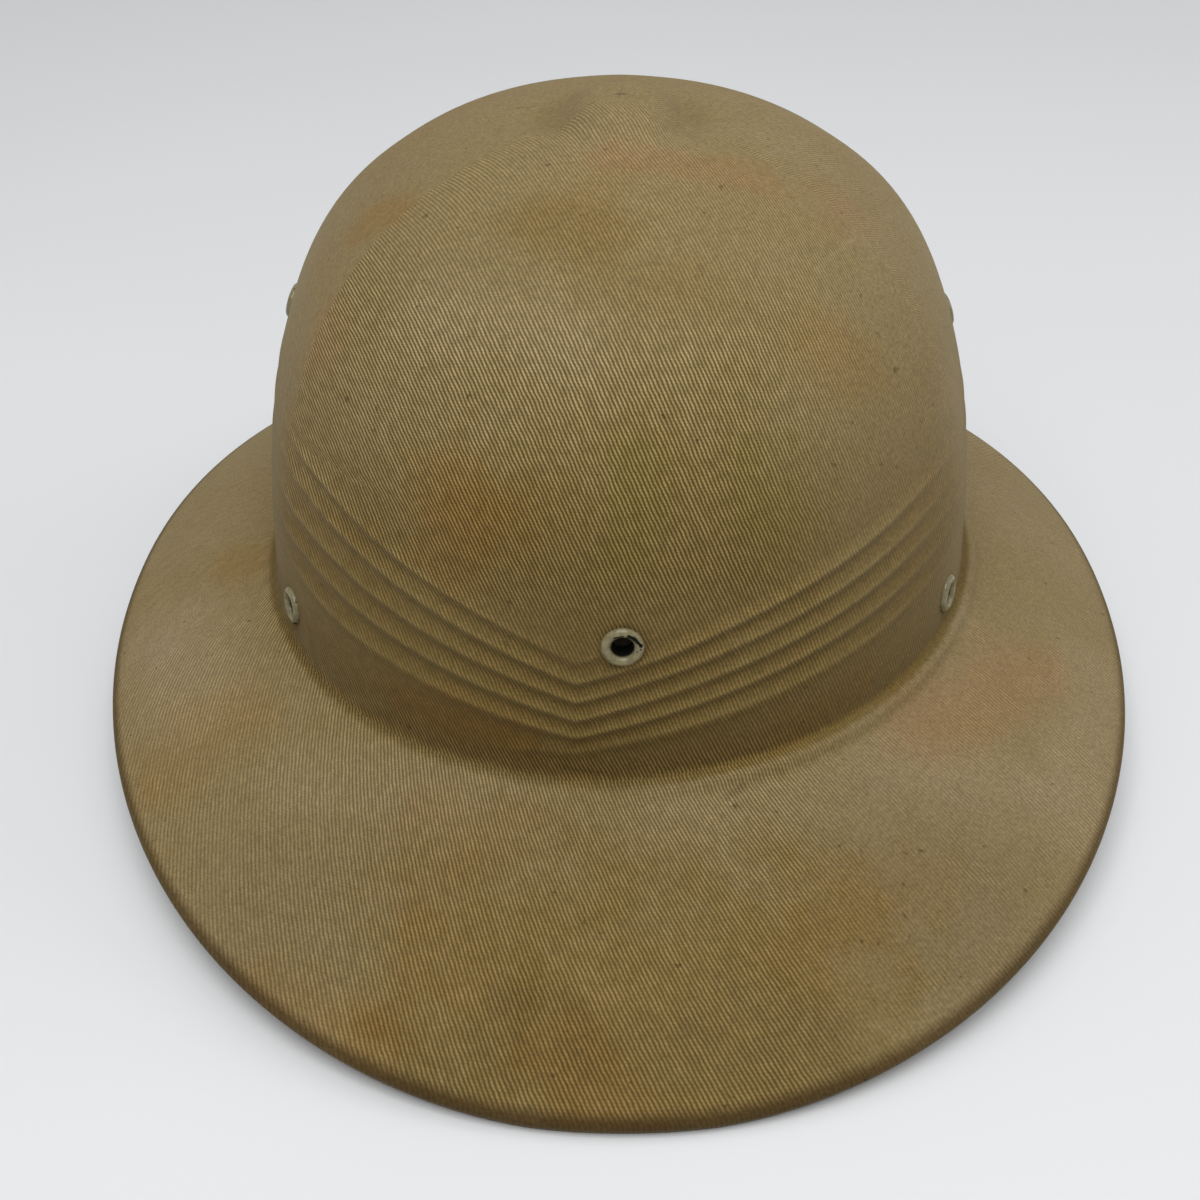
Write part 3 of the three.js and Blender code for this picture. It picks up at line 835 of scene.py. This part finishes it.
class Nodes:
    """Adds nodes to a material or a group, and joins them."""

    def __init__(self, tree):
        self.tree = tree

    def add(self, kind, inputs=None, **settings):
        node = self.tree.nodes.new(kind)
        for name, value in settings.items():
            setattr(node, name, value)
        for name, value in (inputs or {}).items():
            self.put(node, name, value)
        return node

    def put(self, node, name, value):
        socket = node.inputs[name]
        if isinstance(value, bpy.types.NodeSocket):
            self.tree.links.new(value, socket)
        else:
            socket.default_value = value

    def math(self, operation, *values, clamp=False):
        node = self.add("ShaderNodeMath", dict(enumerate(values)), operation=operation, use_clamp=clamp)
        return node.outputs[0]

    def vector(self, operation, first, second):
        inputs = {0: first, "Scale" if operation == "SCALE" else 1: second}
        node = self.add("ShaderNodeVectorMath", inputs, operation=operation)
        number = operation in ("LENGTH", "DISTANCE", "DOT_PRODUCT")
        return node.outputs["Value" if number else "Vector"]

    def range(self, value, low, high, to_low=0.0, to_high=1.0):
        inputs = {"Value": value, "From Min": low, "From Max": high, "To Min": to_low, "To Max": to_high}
        return self.add("ShaderNodeMapRange", inputs, interpolation_type="SMOOTHSTEP").outputs[0]

    def mask(self, name):
        """One of the masks that a piece's mesh carries."""
        return self.add("ShaderNodeAttribute", attribute_name=name, attribute_type="GEOMETRY").outputs["Fac"]

    def tint(self, colour, tone, share):
        """Multiplies a colour by a tone, as far as the share says."""
        return self.mix(share, colour, (*tone, 1), "MULTIPLY")

    def mark(self, place, ends, radius, edge, strength=1.0):
        """A mark round a place or a line in metres, with its radius in mm, by the Mark group."""
        line = ends[-1] - ends[0]
        values = {
            "Place": place,
            "Start": ends[0],
            "Line": line,
            "Line Over Square": line / max(line.length_squared, TINY),
            "Sharpness": 1 / (radius * MM),
            "Edge": edge,
            "Strength": strength,
        }
        return self.add("ShaderNodeGroup", values, node_tree=bpy.data.node_groups["Mark"]).outputs["Mask"]

    def edge(self, tatter):
        """How far a noise pushes a mark's outline in or out, in radii."""
        return self.math("MULTIPLY_ADD", tatter, MARK_TATTER, -MARK_TATTER / 2)

    def wave(self, turns):
        """A sine wave from 0 to 1, from a number of whole turns."""
        return self.math("MULTIPLY_ADD", self.math("SINE", self.math("MULTIPLY", turns, math.tau)), 0.5, 0.5)

    def noise(self, place, scale, detail=3.0, rough=0.5):
        inputs = {"Vector": place, "Scale": scale, "Detail": detail, "Roughness": rough}
        return self.add("ShaderNodeTexNoise", inputs).outputs["Fac"]

    def mix(self, share, first, second, blend="MIX"):
        """Mixes two colours; the other sockets of a Mix node are for its other kinds of value."""
        inputs = {MIX_SHARE: share, MIX_FIRST: first, MIX_SECOND: second}
        return self.add("ShaderNodeMix", inputs, data_type="RGBA", blend_type=blend).outputs[MIX_COLOUR]


FLOAT, VECTOR = "NodeSocketFloat", "NodeSocketVector"


def new_group(name, inputs, outputs):
    """A shader node group with named sockets, each given as name: (kind, default)."""
    group = bpy.data.node_groups.new(name, "ShaderNodeTree")
    for socket, (kind, value) in inputs.items():
        made = group.interface.new_socket(socket, in_out="INPUT", socket_type=kind)
        if value is not None:
            made.default_value = value
    for socket, kind in outputs.items():
        group.interface.new_socket(socket, in_out="OUTPUT", socket_type=kind)
    return group, Nodes(group)


def twill_group():
    """Twill: raised diagonal wales with stitches along each, from UV in metres."""
    group, n = new_group(
        "Twill",
        {"UV": (VECTOR, None), "Pitch": (FLOAT, 0.00087), "Lean": (FLOAT, 0.4), "Wander": (FLOAT, WANDER)},
        {"Wale": FLOAT, "Stitch": FLOAT, "Slub": FLOAT},
    )
    start = n.add("NodeGroupInput").outputs
    place = n.add("ShaderNodeSeparateXYZ", {0: start["UV"]}).outputs
    cosine, sine = n.math("COSINE", start["Lean"]), n.math("SINE", start["Lean"])
    across = n.math("ADD", n.math("MULTIPLY", place["X"], cosine), n.math("MULTIPLY", place["Y"], sine))
    along = n.math("SUBTRACT", n.math("MULTIPLY", place["Y"], cosine), n.math("MULTIPLY", place["X"], sine))
    bend = n.math("SUBTRACT", n.noise(start["UV"], *THREAD_BEND), 0.5)
    straight = n.math("DIVIDE", across, start["Pitch"])
    phase = n.math("ADD", straight, n.math("MULTIPLY", bend, start["Wander"]))
    wale = n.wave(phase)
    thread = n.math("DIVIDE", along, n.math("MULTIPLY", start["Pitch"], STITCH_PITCH))
    stitch = n.wave(n.math("ADD", thread, n.math("MULTIPLY", phase, STITCH_STAGGER)))
    # A row runs from groove to groove, and a groove lies a quarter turn before the sine's zero
    row = n.math("MULTIPLY", n.math("FLOOR", n.math("ADD", phase, 0.25)), SLUB_ROW_STEP)
    run = n.add("ShaderNodeCombineXYZ", {"X": row, "Y": n.math("MULTIPLY", along, SLUB_PER_METRE)})
    slub = n.noise(run.outputs[0], *SLUB_NOISE)
    end = n.add("NodeGroupOutput")
    for name, value in (("Wale", wale), ("Stitch", stitch), ("Slub", slub)):
        n.put(end, name, value)
    return group


def mark_group():
    """A ragged mark round a line on the object. Line Over Square is the line over its length squared,
    Edge pushes the outline in and out, and the mask runs from 0 to the strength."""
    sockets = {name: (VECTOR, None) for name in ("Place", "Start", "Line", "Line Over Square")}
    sockets |= {"Sharpness": (FLOAT, 50.0), "Edge": (FLOAT, 0.0), "Strength": (FLOAT, 1.0)}
    group, n = new_group("Mark", sockets, {"Mask": FLOAT})
    start = n.add("NodeGroupInput").outputs
    reach = n.vector("SUBTRACT", start["Place"], start["Start"])
    share = n.vector("DOT_PRODUCT", reach, start["Line Over Square"])
    foot = n.vector("SCALE", start["Line"], n.math("ADD", share, 0.0, clamp=True))
    away = n.vector("DISTANCE", reach, foot)
    ragged = n.math("MULTIPLY_ADD", away, start["Sharpness"], start["Edge"])
    end = n.add("NodeGroupOutput")
    n.put(end, "Mask", n.range(ragged, MARK_END, MARK_CORE, 0.0, start["Strength"]))
    return group


# Tones that multiply the cloth's colour. The shade, foot, groove and hem tones are painted shade, the
# grime tone is grime and painted shade, the crest tone is a painted highlight, and the tone of the fuzzy
# places is partly painted sheen
TONES = {
    "rust": (1.00, 0.82, 0.60),
    "pink": (1.06, 0.93, 0.92),
    "brown": (0.84, 0.78, 0.62),
    "ochre": (0.90, 0.84, 0.64),
    "olive": (0.90, 0.98, 0.80),
    "pale": (1.14, 1.17, 1.34),
    "shade": (0.74, 0.74, 0.80),
    "soot": (0.30, 0.26, 0.22),
    "fuzz_and_sheen": (0.97, 1.0, 1.16),
    "grime": (0.66, 0.60, 0.42),
    "foot": (0.84, 0.82, 0.74),
    "groove": (0.87, 0.85, 0.78),
    "crest": (1.30, 1.34, 1.42),
    "hem": (0.42, 0.37, 0.30),
}

# Marks on the cloth: tone, strength, radius in mm, and the place in mm or the line's two ends.
# Those with a radius under FINE_MARK are specks and scratches with a crisper edge.
FINE_MARK = 2
MARKS = [
    ("ochre", 1.0, 56, [(-20, -150, 13), (30, -150, 13)]),
    ("shade", 0.5, 46, [(-75, -125, 16), (75, -125, 16)]),
    ("shade", 0.6, 28, [(-35, -163, 6), (35, -163, 6)]),
    ("ochre", 0.6, 36, [(-10, -90, 105), (20, -90, 105)]),
    ("rust", 0.75, 24, [(-36, -83, 102)]),
    ("brown", 0.45, 20, [(-58, -68, 92)]),
    ("pink", 0.9, 9, [(-1.8, -24, 161.5), (30, -27, 157)]),
    ("brown", 0.7, 12, [(-8, -46, 155), (-20, -43, 155)]),
    ("brown", 0.35, 12, [(16.6, -62, 145), (-4, -60, 149)]),
    ("rust", 0.7, 9, [(-53, -25, 149), (-61, -20, 144)]),
    ("pink", 0.8, 14, [(-69.5, -44, 124)]),
    ("pink", 0.7, 15, [(51, -24, 150)]),
    ("rust", 0.45, 14, [(46, -61, 132), (54, -60, 126)]),
    ("pale", 0.75, 15, [(-44, -56, 138), (-12, -70, 139)]),
    ("pale", 0.4, 16, [(12, -70, 139)]),
    ("olive", 0.6, 8, [(2.7, -86, 118), (0, -94, 98)]),
    ("olive", 0.5, 11, [(30, -82, 115), (34, -87, 98)]),
    ("rust", 0.75, 11, [(-50, -85, 50), (-26, -96, 49)]),
    ("rust", 0.45, 9, [(40, -91, 47), (58, -79, 50)]),
    ("pale", 0.55, 14, [(-79, -92, 31), (-28, -104, 35)]),
    ("pale", 0.45, 13, [(10, -106, 35), (94, -90, 30)]),
    ("pale", 0.9, 24, [(-121, -35, 30), (-112, -60, 30)]),
    # The next two are painted sheen down the right side of the crown
    ("pale", 1.0, 20, [(78, -36, 100), (85, -34, 70)]),
    ("pale", 0.8, 12, [(83, -44, 60), (88, -44, 50)]),
    ("pale", 0.35, 14, [(-6, -14, 165), (10, -14, 165)]),
    ("rust", 0.55, 14, [(-107, -12, 37)]),
    ("rust", 0.42, 19, [(-100, -70, 31), (-118, -78, 22)]),
    ("pink", 0.9, 17, [(108, -55, 34), (77, -79, 38)]),
    ("pale", 0.7, 20, [(112, -90, 22), (128, -50, 20)]),
    ("rust", 0.32, 18, [(44, -134, 22), (68, -122, 24)]),
    ("rust", 0.45, 14, [(-10, -158, 11), (-4, -168, 6)]),
    ("rust", 0.4, 10, [(-58, -153, 10), (-80, -140, 10)]),
    ("brown", 0.5, 4, [(-20, -140, 20), (-22, -158, 12)]),
    ("soot", 0.28, 1.5, [(29, -101, 36.6), (25.5, -103.5, 35.8)]),
    ("soot", 0.6, 0.9, [(26.9, -105.7, 35.1)]),
    ("soot", 0.3, 0.7, [(-15.8, -98.8, 41.2), (-3.9, -99.8, 40)]),
    ("soot", 0.6, 1.2, [(-63.1, -57.4, 117.4)]),
    ("soot", 0.6, 0.8, [(-55.3, -64.1, 119.2)]),
    ("pale", 1.0, 0.9, [(-30.5, -36.1, 154.9)]),
    ("pale", 0.6, 0.7, [(43, -47.4, 145), (52.9, -34.3, 146.1)]),
    ("pale", 0.6, 0.8, [(52.9, -34.3, 146.1), (65.5, -10.5, 141.5)]),
    ("pale", 0.8, 0.7, [(33.5, -15, 158.4), (36.2, -13.2, 157.8)]),
]


def new_material(name):
    material = bpy.data.materials.new(name)
    material.use_nodes = True
    material.node_tree.nodes.clear()
    return material, Nodes(material.node_tree)


def finish_material(n, inputs):
    """Closes a material with its Principled shader."""
    shader = n.add("ShaderNodeBsdfPrincipled", inputs)
    n.add("ShaderNodeOutputMaterial", {"Surface": shader.outputs["BSDF"]})


def cloth_material(settings):
    """Khaki twill: light wales over grooves darkened by dirt and painted shade, faded, grimy over the
    crease with painted shade, stained and specked, with painted highlights on the crests, painted shade in
    the folds and on the hem, and painted sheen where it is fuzzy.
    """
    material, n = new_material("khaki_twill")
    place = n.add("ShaderNodeTexCoord").outputs["Object"]
    threads = n.add("ShaderNodeUVMap", uv_map="threads").outputs["UV"]
    inputs = {"UV": threads, "Pitch": settings.wale_pitch, "Lean": settings.wale_lean}
    weave = n.add("ShaderNodeGroup", inputs, node_tree=bpy.data.node_groups["Twill"]).outputs
    cloud, tatter = n.noise(place, *CLOTH_CLOUD), n.noise(place, *CLOTH_TATTER)
    nap, specks = n.noise(place, *CLOTH_NAP), n.noise(place, *CLOTH_SPECKS)

    # The hem's mask paints shade on the rim's edge
    hem = n.mask("hem")
    # Fuzzy places, partly real fuzz and partly painted sheen, where the weave fades
    fuzz_and_sheen = n.math("MULTIPLY", n.mask("fuzz_and_sheen"), n.range(tatter, *FUZZ_PATCHES))
    fuzz_and_sheen = n.math("MAXIMUM", fuzz_and_sheen, hem)
    crisp = n.math("MULTIPLY_ADD", fuzz_and_sheen, -FUZZ_HIDES, 1.0)
    beads = n.math("MULTIPLY_ADD", weave["Stitch"], BEAD_DEPTH, 1 - BEAD_DEPTH)
    rib = n.math("MULTIPLY", n.math("POWER", weave["Wale"], WALE_POWER), beads)
    rib = n.math("MULTIPLY", rib, n.range(weave["Slub"], *SLUB_RIB))
    level = n.mix(crisp, FUZZ_LEVEL, rib)
    # Grooves darker than wales: dirt and painted shade between the ribs
    colour = n.mix(level, (*settings.groove_colour, 1), (*settings.wale_colour, 1))
    lint_share = n.math("MULTIPLY_ADD", fuzz_and_sheen, LINT_ON_FUZZ, LINT_ON_WEAVE)
    bright = n.math("MULTIPLY_ADD", n.range(nap, *NAP_LINT), lint_share, 1.0)

    shares = {"pale": n.range(cloud, *CLOUD_PALE), "rust": n.range(cloud, *CLOUD_RUST)}
    shares |= {name: n.mask(name) for name in ("grime", "foot", "groove", "crest")}
    shares |= {"fuzz_and_sheen": fuzz_and_sheen, "hem": hem}
    for tone, share in shares.items():
        colour = n.tint(colour, TONES[tone], share)
    soft_edge, fine_edge = n.edge(tatter), n.edge(nap)
    for tone, strength, radius, spots in MARKS:
        edge = fine_edge if radius < FINE_MARK else soft_edge
        ends = [Vector(spot) * MM for spot in spots]
        colour = n.tint(colour, TONES[tone], n.mark(place, ends, radius, edge, strength))
    colour = n.tint(colour, TONES["soot"], n.range(specks, *SPECKS_SOOT))
    colour = n.vector("SCALE", colour, bright)

    flat = n.math("MULTIPLY_ADD", n.mask("fuzz_and_sheen"), -FUZZ_FLATTENS, 1.0)
    height = n.math("MULTIPLY_ADD", nap, NAP_HEIGHT, n.math("MULTIPLY", rib, flat))
    bump = n.add("ShaderNodeBump", {"Height": height, "Distance": settings.wale_relief, "Strength": 1.0})
    finish_material(
        n,
        {
            "Base Color": colour,
            "Roughness": 0.95,
            "Specular IOR Level": 0.15,
            "Sheen Weight": 0.12,
            "Sheen Roughness": 0.45,
            "Sheen Tint": (1.0, 0.90, 0.66, 1),
            "Normal": bump.outputs["Normal"],
        },
    )
    return material


def fibre_material():
    """Pressed fibre: a matt brown board with short fibres pressed into it."""
    material, n = new_material("pressed_fibre")
    place = n.add("ShaderNodeTexCoord").outputs["Object"]
    cloud = n.noise(place, *FIBRE_CLOUD)
    fibres = n.noise(n.vector("MULTIPLY", place, FIBRE_STRETCH), *FIBRE_THREADS)
    colour = n.mix(n.range(cloud, *FIBRE_CLOUDED), FIBRE_DARK, FIBRE_BROWN)
    colour = n.mix(n.range(fibres, *FIBRE_LIGHTER), colour, FIBRE_PALE)
    bump = n.add("ShaderNodeBump", {"Height": fibres, "Distance": 0.00035, "Strength": 0.6})
    rough = n.range(cloud, *FIBRE_ROUGH)
    finish_material(n, {"Base Color": colour, "Roughness": rough, "Normal": bump.outputs["Normal"]})
    return material


def eyelet_material(settings):
    """Khaki paint over dark metal, chipped round the hole and worn on the roll."""
    material, n = new_material("eyelet_paint")
    place = n.add("ShaderNodeTexCoord").outputs["Object"]
    top, _, across, up = top_of(EYELETS[0])
    level = settings.chip_level
    chips = n.range(n.noise(place, *PAINT_CHIPS), level, level + CHIP_EDGE)
    edge = n.edge(n.noise(place, *PAINT_TATTER))
    for radius, spots in CHIPS:
        ends = []
        for clock, away in spots:
            turn = clock * HOUR
            ends.append(top + (across * math.sin(turn) + up * math.cos(turn)) * away * MM)
        chips = n.math("MAXIMUM", chips, n.range(n.mark(place, ends, radius, edge), *CHIP_CORE))
    # The barrel's inside takes the near-black metal: bare metal and painted shade in the hole
    chips = n.math("MAXIMUM", chips, n.mask("bare"))
    grime = n.noise(place, *PAINT_GRIME)
    paint = (*settings.paint_colour, 1), (*settings.grime_colour, 1)
    colour = n.mix(chips, n.mix(n.range(grime, *PAINT_DIRTY), *paint), BARE_METAL)
    rough = n.math("MAXIMUM", n.range(grime, *PAINT_ROUGH), n.math("MULTIPLY", chips, CHIP_ROUGH))
    height = n.math("SUBTRACT", n.math("MULTIPLY", grime, GRIME_HEIGHT), chips)
    bump = n.add("ShaderNodeBump", {"Height": height, "Distance": 0.00006, "Strength": 0.6})
    finish_material(
        n,
        {
            "Base Color": colour,
            "Roughness": rough,
            "Specular IOR Level": 0.15,
            "Coat Weight": n.math("MULTIPLY_ADD", chips, -PAINT_GLOSS, PAINT_GLOSS),
            "Coat Roughness": 0.16,
            "Normal": bump.outputs["Normal"],
        },
    )
    return material


def floor_material():
    """Pale matt board."""
    material, n = new_material("pale_floor")
    place = n.add("ShaderNodeTexCoord").outputs["Object"]
    colour = n.mix(n.noise(place, *FLOOR_CLOUD), FLOOR_DARKER, FLOOR_LIGHTER)
    finish_material(n, {"Base Color": colour, "Roughness": 0.6, "Specular IOR Level": 0.3})
    return material


def hand_over(piece, material, slot, *nodes):
    """Gives a finished piece its material and its place in the frame."""
    piece.data.materials.clear()
    piece.data.materials.append(material)
    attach(piece, "root")
    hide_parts(*nodes)


def length_setting(name, description, default):
    return bpy.props.FloatProperty(
        name=name, description=description, default=default, subtype="DISTANCE", unit="LENGTH"
    )


def colour_setting(name, description, default):
    return bpy.props.FloatVectorProperty(
        name=name, description=description, default=default, subtype="COLOR", size=3
    )


class TwillSettings(bpy.types.PropertyGroup):
    pleat_depth: length_setting("Pleat depth", "How far a pleat's crest stands out", 0.0010)
    wale_pitch: length_setting("Wale pitch", "Distance between two diagonal ribs of the twill", 0.00087)
    wale_relief: length_setting("Wale relief", "Height of a rib over the groove beside it", 0.0002)
    wale_lean: bpy.props.FloatProperty(
        name="Wale lean",
        description="How far the ribs lean from upright",
        default=math.radians(24),
        subtype="ANGLE",
        unit="ROTATION",
    )
    wale_colour: colour_setting(
        "Wale colour", "Colour of the ribs, where the cloth is faded", (0.455, 0.330, 0.145)
    )
    # The grooves are darker than the wales from dirt and from painted shade between the ribs
    groove_colour: colour_setting(
        "Groove colour", "Colour between the ribs, where dirt stays", (0.088, 0.060, 0.015)
    )


class EyeletSettings(bpy.types.PropertyGroup):
    paint_colour: colour_setting("Paint colour", "Colour of the eyelets' paint", (0.25, 0.215, 0.11))
    grime_colour: colour_setting(
        "Grime colour", "Colour of the eyelets' paint where it is dirty", (0.17, 0.145, 0.075)
    )
    chip_level: bpy.props.FloatProperty(
        name="Chip level",
        description="Noise level past which the paint is chipped off",
        default=0.69,
        subtype="FACTOR",
    )


class StageSettings(bpy.types.PropertyGroup):
    key_power: bpy.props.FloatProperty(
        name="Main light",
        description="Power of the main soft light, which the others follow",
        default=13.0,
        unit="POWER",
    )
    sky_strength: bpy.props.FloatProperty(
        name="Room light",
        description="Strength of the even light from all round",
        default=0.5,
    )


class HELMET_OT_cover(bpy.types.Operator):
    """Make the twill cover, with its pleats, its button and its hem"""

    bl_idname = "helmet.cover"
    bl_label = "Twill Cover"
    bl_options = {"REGISTER", "UNDO"}

    def execute(self, context):
        settings = context.scene.helmet_twill
        twill_group()
        mark_group()
        cover = press("cover_cloth", MERIDIANS, lambda angle: cover_rows(angle, settings.pleat_depth))
        punch_holes(cover, EYELET_CUT_RADIUS)
        lay_cloth(cover)
        mark_wear_and_shading(cover)
        smooth_shade(cover, SHADE_ANGLE)
        hand_over(cover, cloth_material(settings), "cotton_twill", "twill_cover")
        return {"FINISHED"}


class HELMET_OT_shell(bpy.types.Operator):
    """Make the pressed fibre shell under the cover"""

    bl_idname = "helmet.shell"
    bl_label = "Fibre Shell"
    bl_options = {"REGISTER", "UNDO"}

    def execute(self, context):
        shell = press("shell_fibre", SHELL_MERIDIANS, shell_rows)
        punch_holes(shell, EYELET_CUT_RADIUS)
        smooth_shade(shell, SHADE_ANGLE)
        hand_over(shell, fibre_material(), "pressed_fibre", "fibre_shell")
        return {"FINISHED"}


class HELMET_OT_eyelets(bpy.types.Operator):
    """Make the six vent eyelets"""

    bl_idname = "helmet.eyelets"
    bl_label = "Vent Eyelets"
    bl_options = {"REGISTER", "UNDO"}

    def execute(self, context):
        paint = eyelet_material(context.scene.helmet_eyelets)
        first = self.draw_eyelet()
        for eyelet in EYELETS:
            top, out, _, _ = top_of(eyelet)
            node = eyelet["node"]
            seat = top - out * max(height for _, height in EYELET_SECTION) * MM
            clean_slate()
            first.select_set(True)
            context.view_layer.objects.active = first
            bpy.ops.object.duplicate()
            piece = name_piece(node.replace("eyelet", "vent"))
            turn = out.to_track_quat("Z", "Y").to_matrix().to_4x4()
            piece.matrix_world = Matrix.Translation(seat) @ turn
            bpy.ops.object.transform_apply(location=True, rotation=True, scale=True)
            hand_over(piece, paint, "eyelet_paint", node)
        bpy.data.objects.remove(first)
        return {"FINISHED"}

    def draw_eyelet(self):
        """One eyelet about Z, drawn up ring by ring along its section, and closed."""
        clean_slate()
        radius, height = EYELET_SECTION[0]
        bpy.ops.mesh.primitive_circle_add(
            vertices=EYELET_SIDES, radius=radius * MM, location=(0, 0, height * MM)
        )
        eyelet = name_piece("vent")
        bpy.ops.object.transform_apply(location=True, rotation=True, scale=True)
        bpy.ops.object.mode_set(mode="EDIT")
        bpy.ops.mesh.select_all(action="SELECT")
        for next_radius, next_height in EYELET_SECTION[1:]:
            rise, wider = (next_height - height) * MM, next_radius / radius
            bpy.ops.mesh.extrude_region_move(TRANSFORM_OT_translate={"value": (0, 0, rise)})
            bpy.ops.transform.resize(value=(wider, wider, 1))
            radius, height = next_radius, next_height
        bpy.ops.mesh.select_all(action="DESELECT")
        bpy.ops.mesh.select_non_manifold()
        bpy.ops.mesh.bridge_edge_loops()
        bpy.ops.mesh.select_all(action="SELECT")
        bpy.ops.mesh.normals_make_consistent(inside=False)
        bpy.ops.object.mode_set(mode="OBJECT")
        smooth_shade(eyelet, EYELET_SHADE_ANGLE)
        # Marks the barrel's inside, painted near black as bare metal and as painted shade in the hole
        bare = eyelet.data.attributes.new("bare", "FLOAT", "POINT")
        for spot, vertex in zip(bare.data, eyelet.data.vertices):
            inside = math.hypot(vertex.co.x, vertex.co.y) < BARREL_SHADE_RADIUS
            spot.value = float(inside and vertex.co.z < BARREL_SHADE_BELOW)
        return eyelet


class HELMET_OT_stage(bpy.types.Operator):
    """Lay the pale floor, hang the lights and set the camera"""

    bl_idname = "helmet.stage"
    bl_label = "Floor, Light and Camera"
    bl_options = {"REGISTER", "UNDO"}

    def execute(self, context):
        settings = context.scene.helmet_stage
        clean_slate()
        bpy.ops.mesh.primitive_plane_add(size=FLOOR_SIZE, location=(0, 0, 0))
        floor = name_piece("floor")
        floor.data.materials.append(floor_material())
        for light in LIGHTS:
            power = settings.key_power * light["share"]
            self.area_light(light["name"], light["place"], light["size"], power)
        context.scene.world = self.room(settings.sky_strength)
        bpy.ops.object.camera_add(location=CAMERA_PLACE, rotation=(math.radians(CAMERA_TILT), 0, 0))
        camera = context.object
        camera.name = "camera"
        camera.data.lens = CAMERA_LENS
        camera.data.sensor_width = SENSOR_WIDTH
        camera.data.clip_start = 0.01
        context.scene.camera = camera
        context.scene.view_settings.view_transform = "Standard"
        return {"FINISHED"}

    def room(self, strength):
        """A pale room: bright overhead, dimmer towards the floor."""
        world = bpy.data.worlds.new("room")
        world.use_nodes = True
        n = Nodes(world.node_tree)
        world.node_tree.nodes.clear()
        toward = n.add("ShaderNodeSeparateXYZ", {0: n.add("ShaderNodeTexCoord").outputs["Generated"]})
        colour = n.mix(n.range(toward.outputs["Z"], *ROOM_RISE), ROOM_LOW, ROOM_HIGH)
        sky = n.add("ShaderNodeBackground", {"Color": colour, "Strength": strength})
        n.add("ShaderNodeOutputWorld", {"Surface": sky.outputs[0]})
        return world

    def area_light(self, name, place, size, power):
        """A square light that looks at the helmet's middle."""
        bpy.ops.object.light_add(type="AREA", location=place)
        light = bpy.context.object
        light.name = name
        light.data.size = size
        light.data.energy = power
        aim = Vector((0, 0, DOME_TOP_Z / 2)) - Vector(place)
        light.rotation_euler = aim.to_track_quat("-Z", "Y").to_euler()


class HELMET_PT_panel(bpy.types.Panel):
    bl_idname = "HELMET_PT_panel"
    bl_label = "Pith Helmet"
    bl_space_type = "VIEW_3D"
    bl_region_type = "UI"
    bl_category = "Helmet"

    def draw(self, context):
        for group in SETTINGS:
            settings = getattr(context.scene, group)
            for name in settings.__annotations__:
                self.layout.prop(settings, name)
        for operator in OPERATORS:
            self.layout.operator(operator.bl_idname)


OPERATORS = (HELMET_OT_cover, HELMET_OT_shell, HELMET_OT_eyelets, HELMET_OT_stage)
SETTINGS = {"helmet_twill": TwillSettings, "helmet_eyelets": EyeletSettings, "helmet_stage": StageSettings}


def register():
    for name, group in SETTINGS.items():
        bpy.utils.register_class(group)
        setattr(bpy.types.Scene, name, bpy.props.PointerProperty(type=group))
    for piece in (*OPERATORS, HELMET_PT_panel):
        bpy.utils.register_class(piece)


def unregister():
    for piece in (HELMET_PT_panel, *OPERATORS):
        bpy.utils.unregister_class(piece)
    for name, group in SETTINGS.items():
        delattr(bpy.types.Scene, name)
        bpy.utils.unregister_class(group)


def main():
    register()
    bpy.ops.helmet.cover()
    bpy.ops.helmet.shell()
    bpy.ops.helmet.eyelets()
    bpy.ops.helmet.stage()
    clean_slate()


if __name__ == "__main__":
    main()
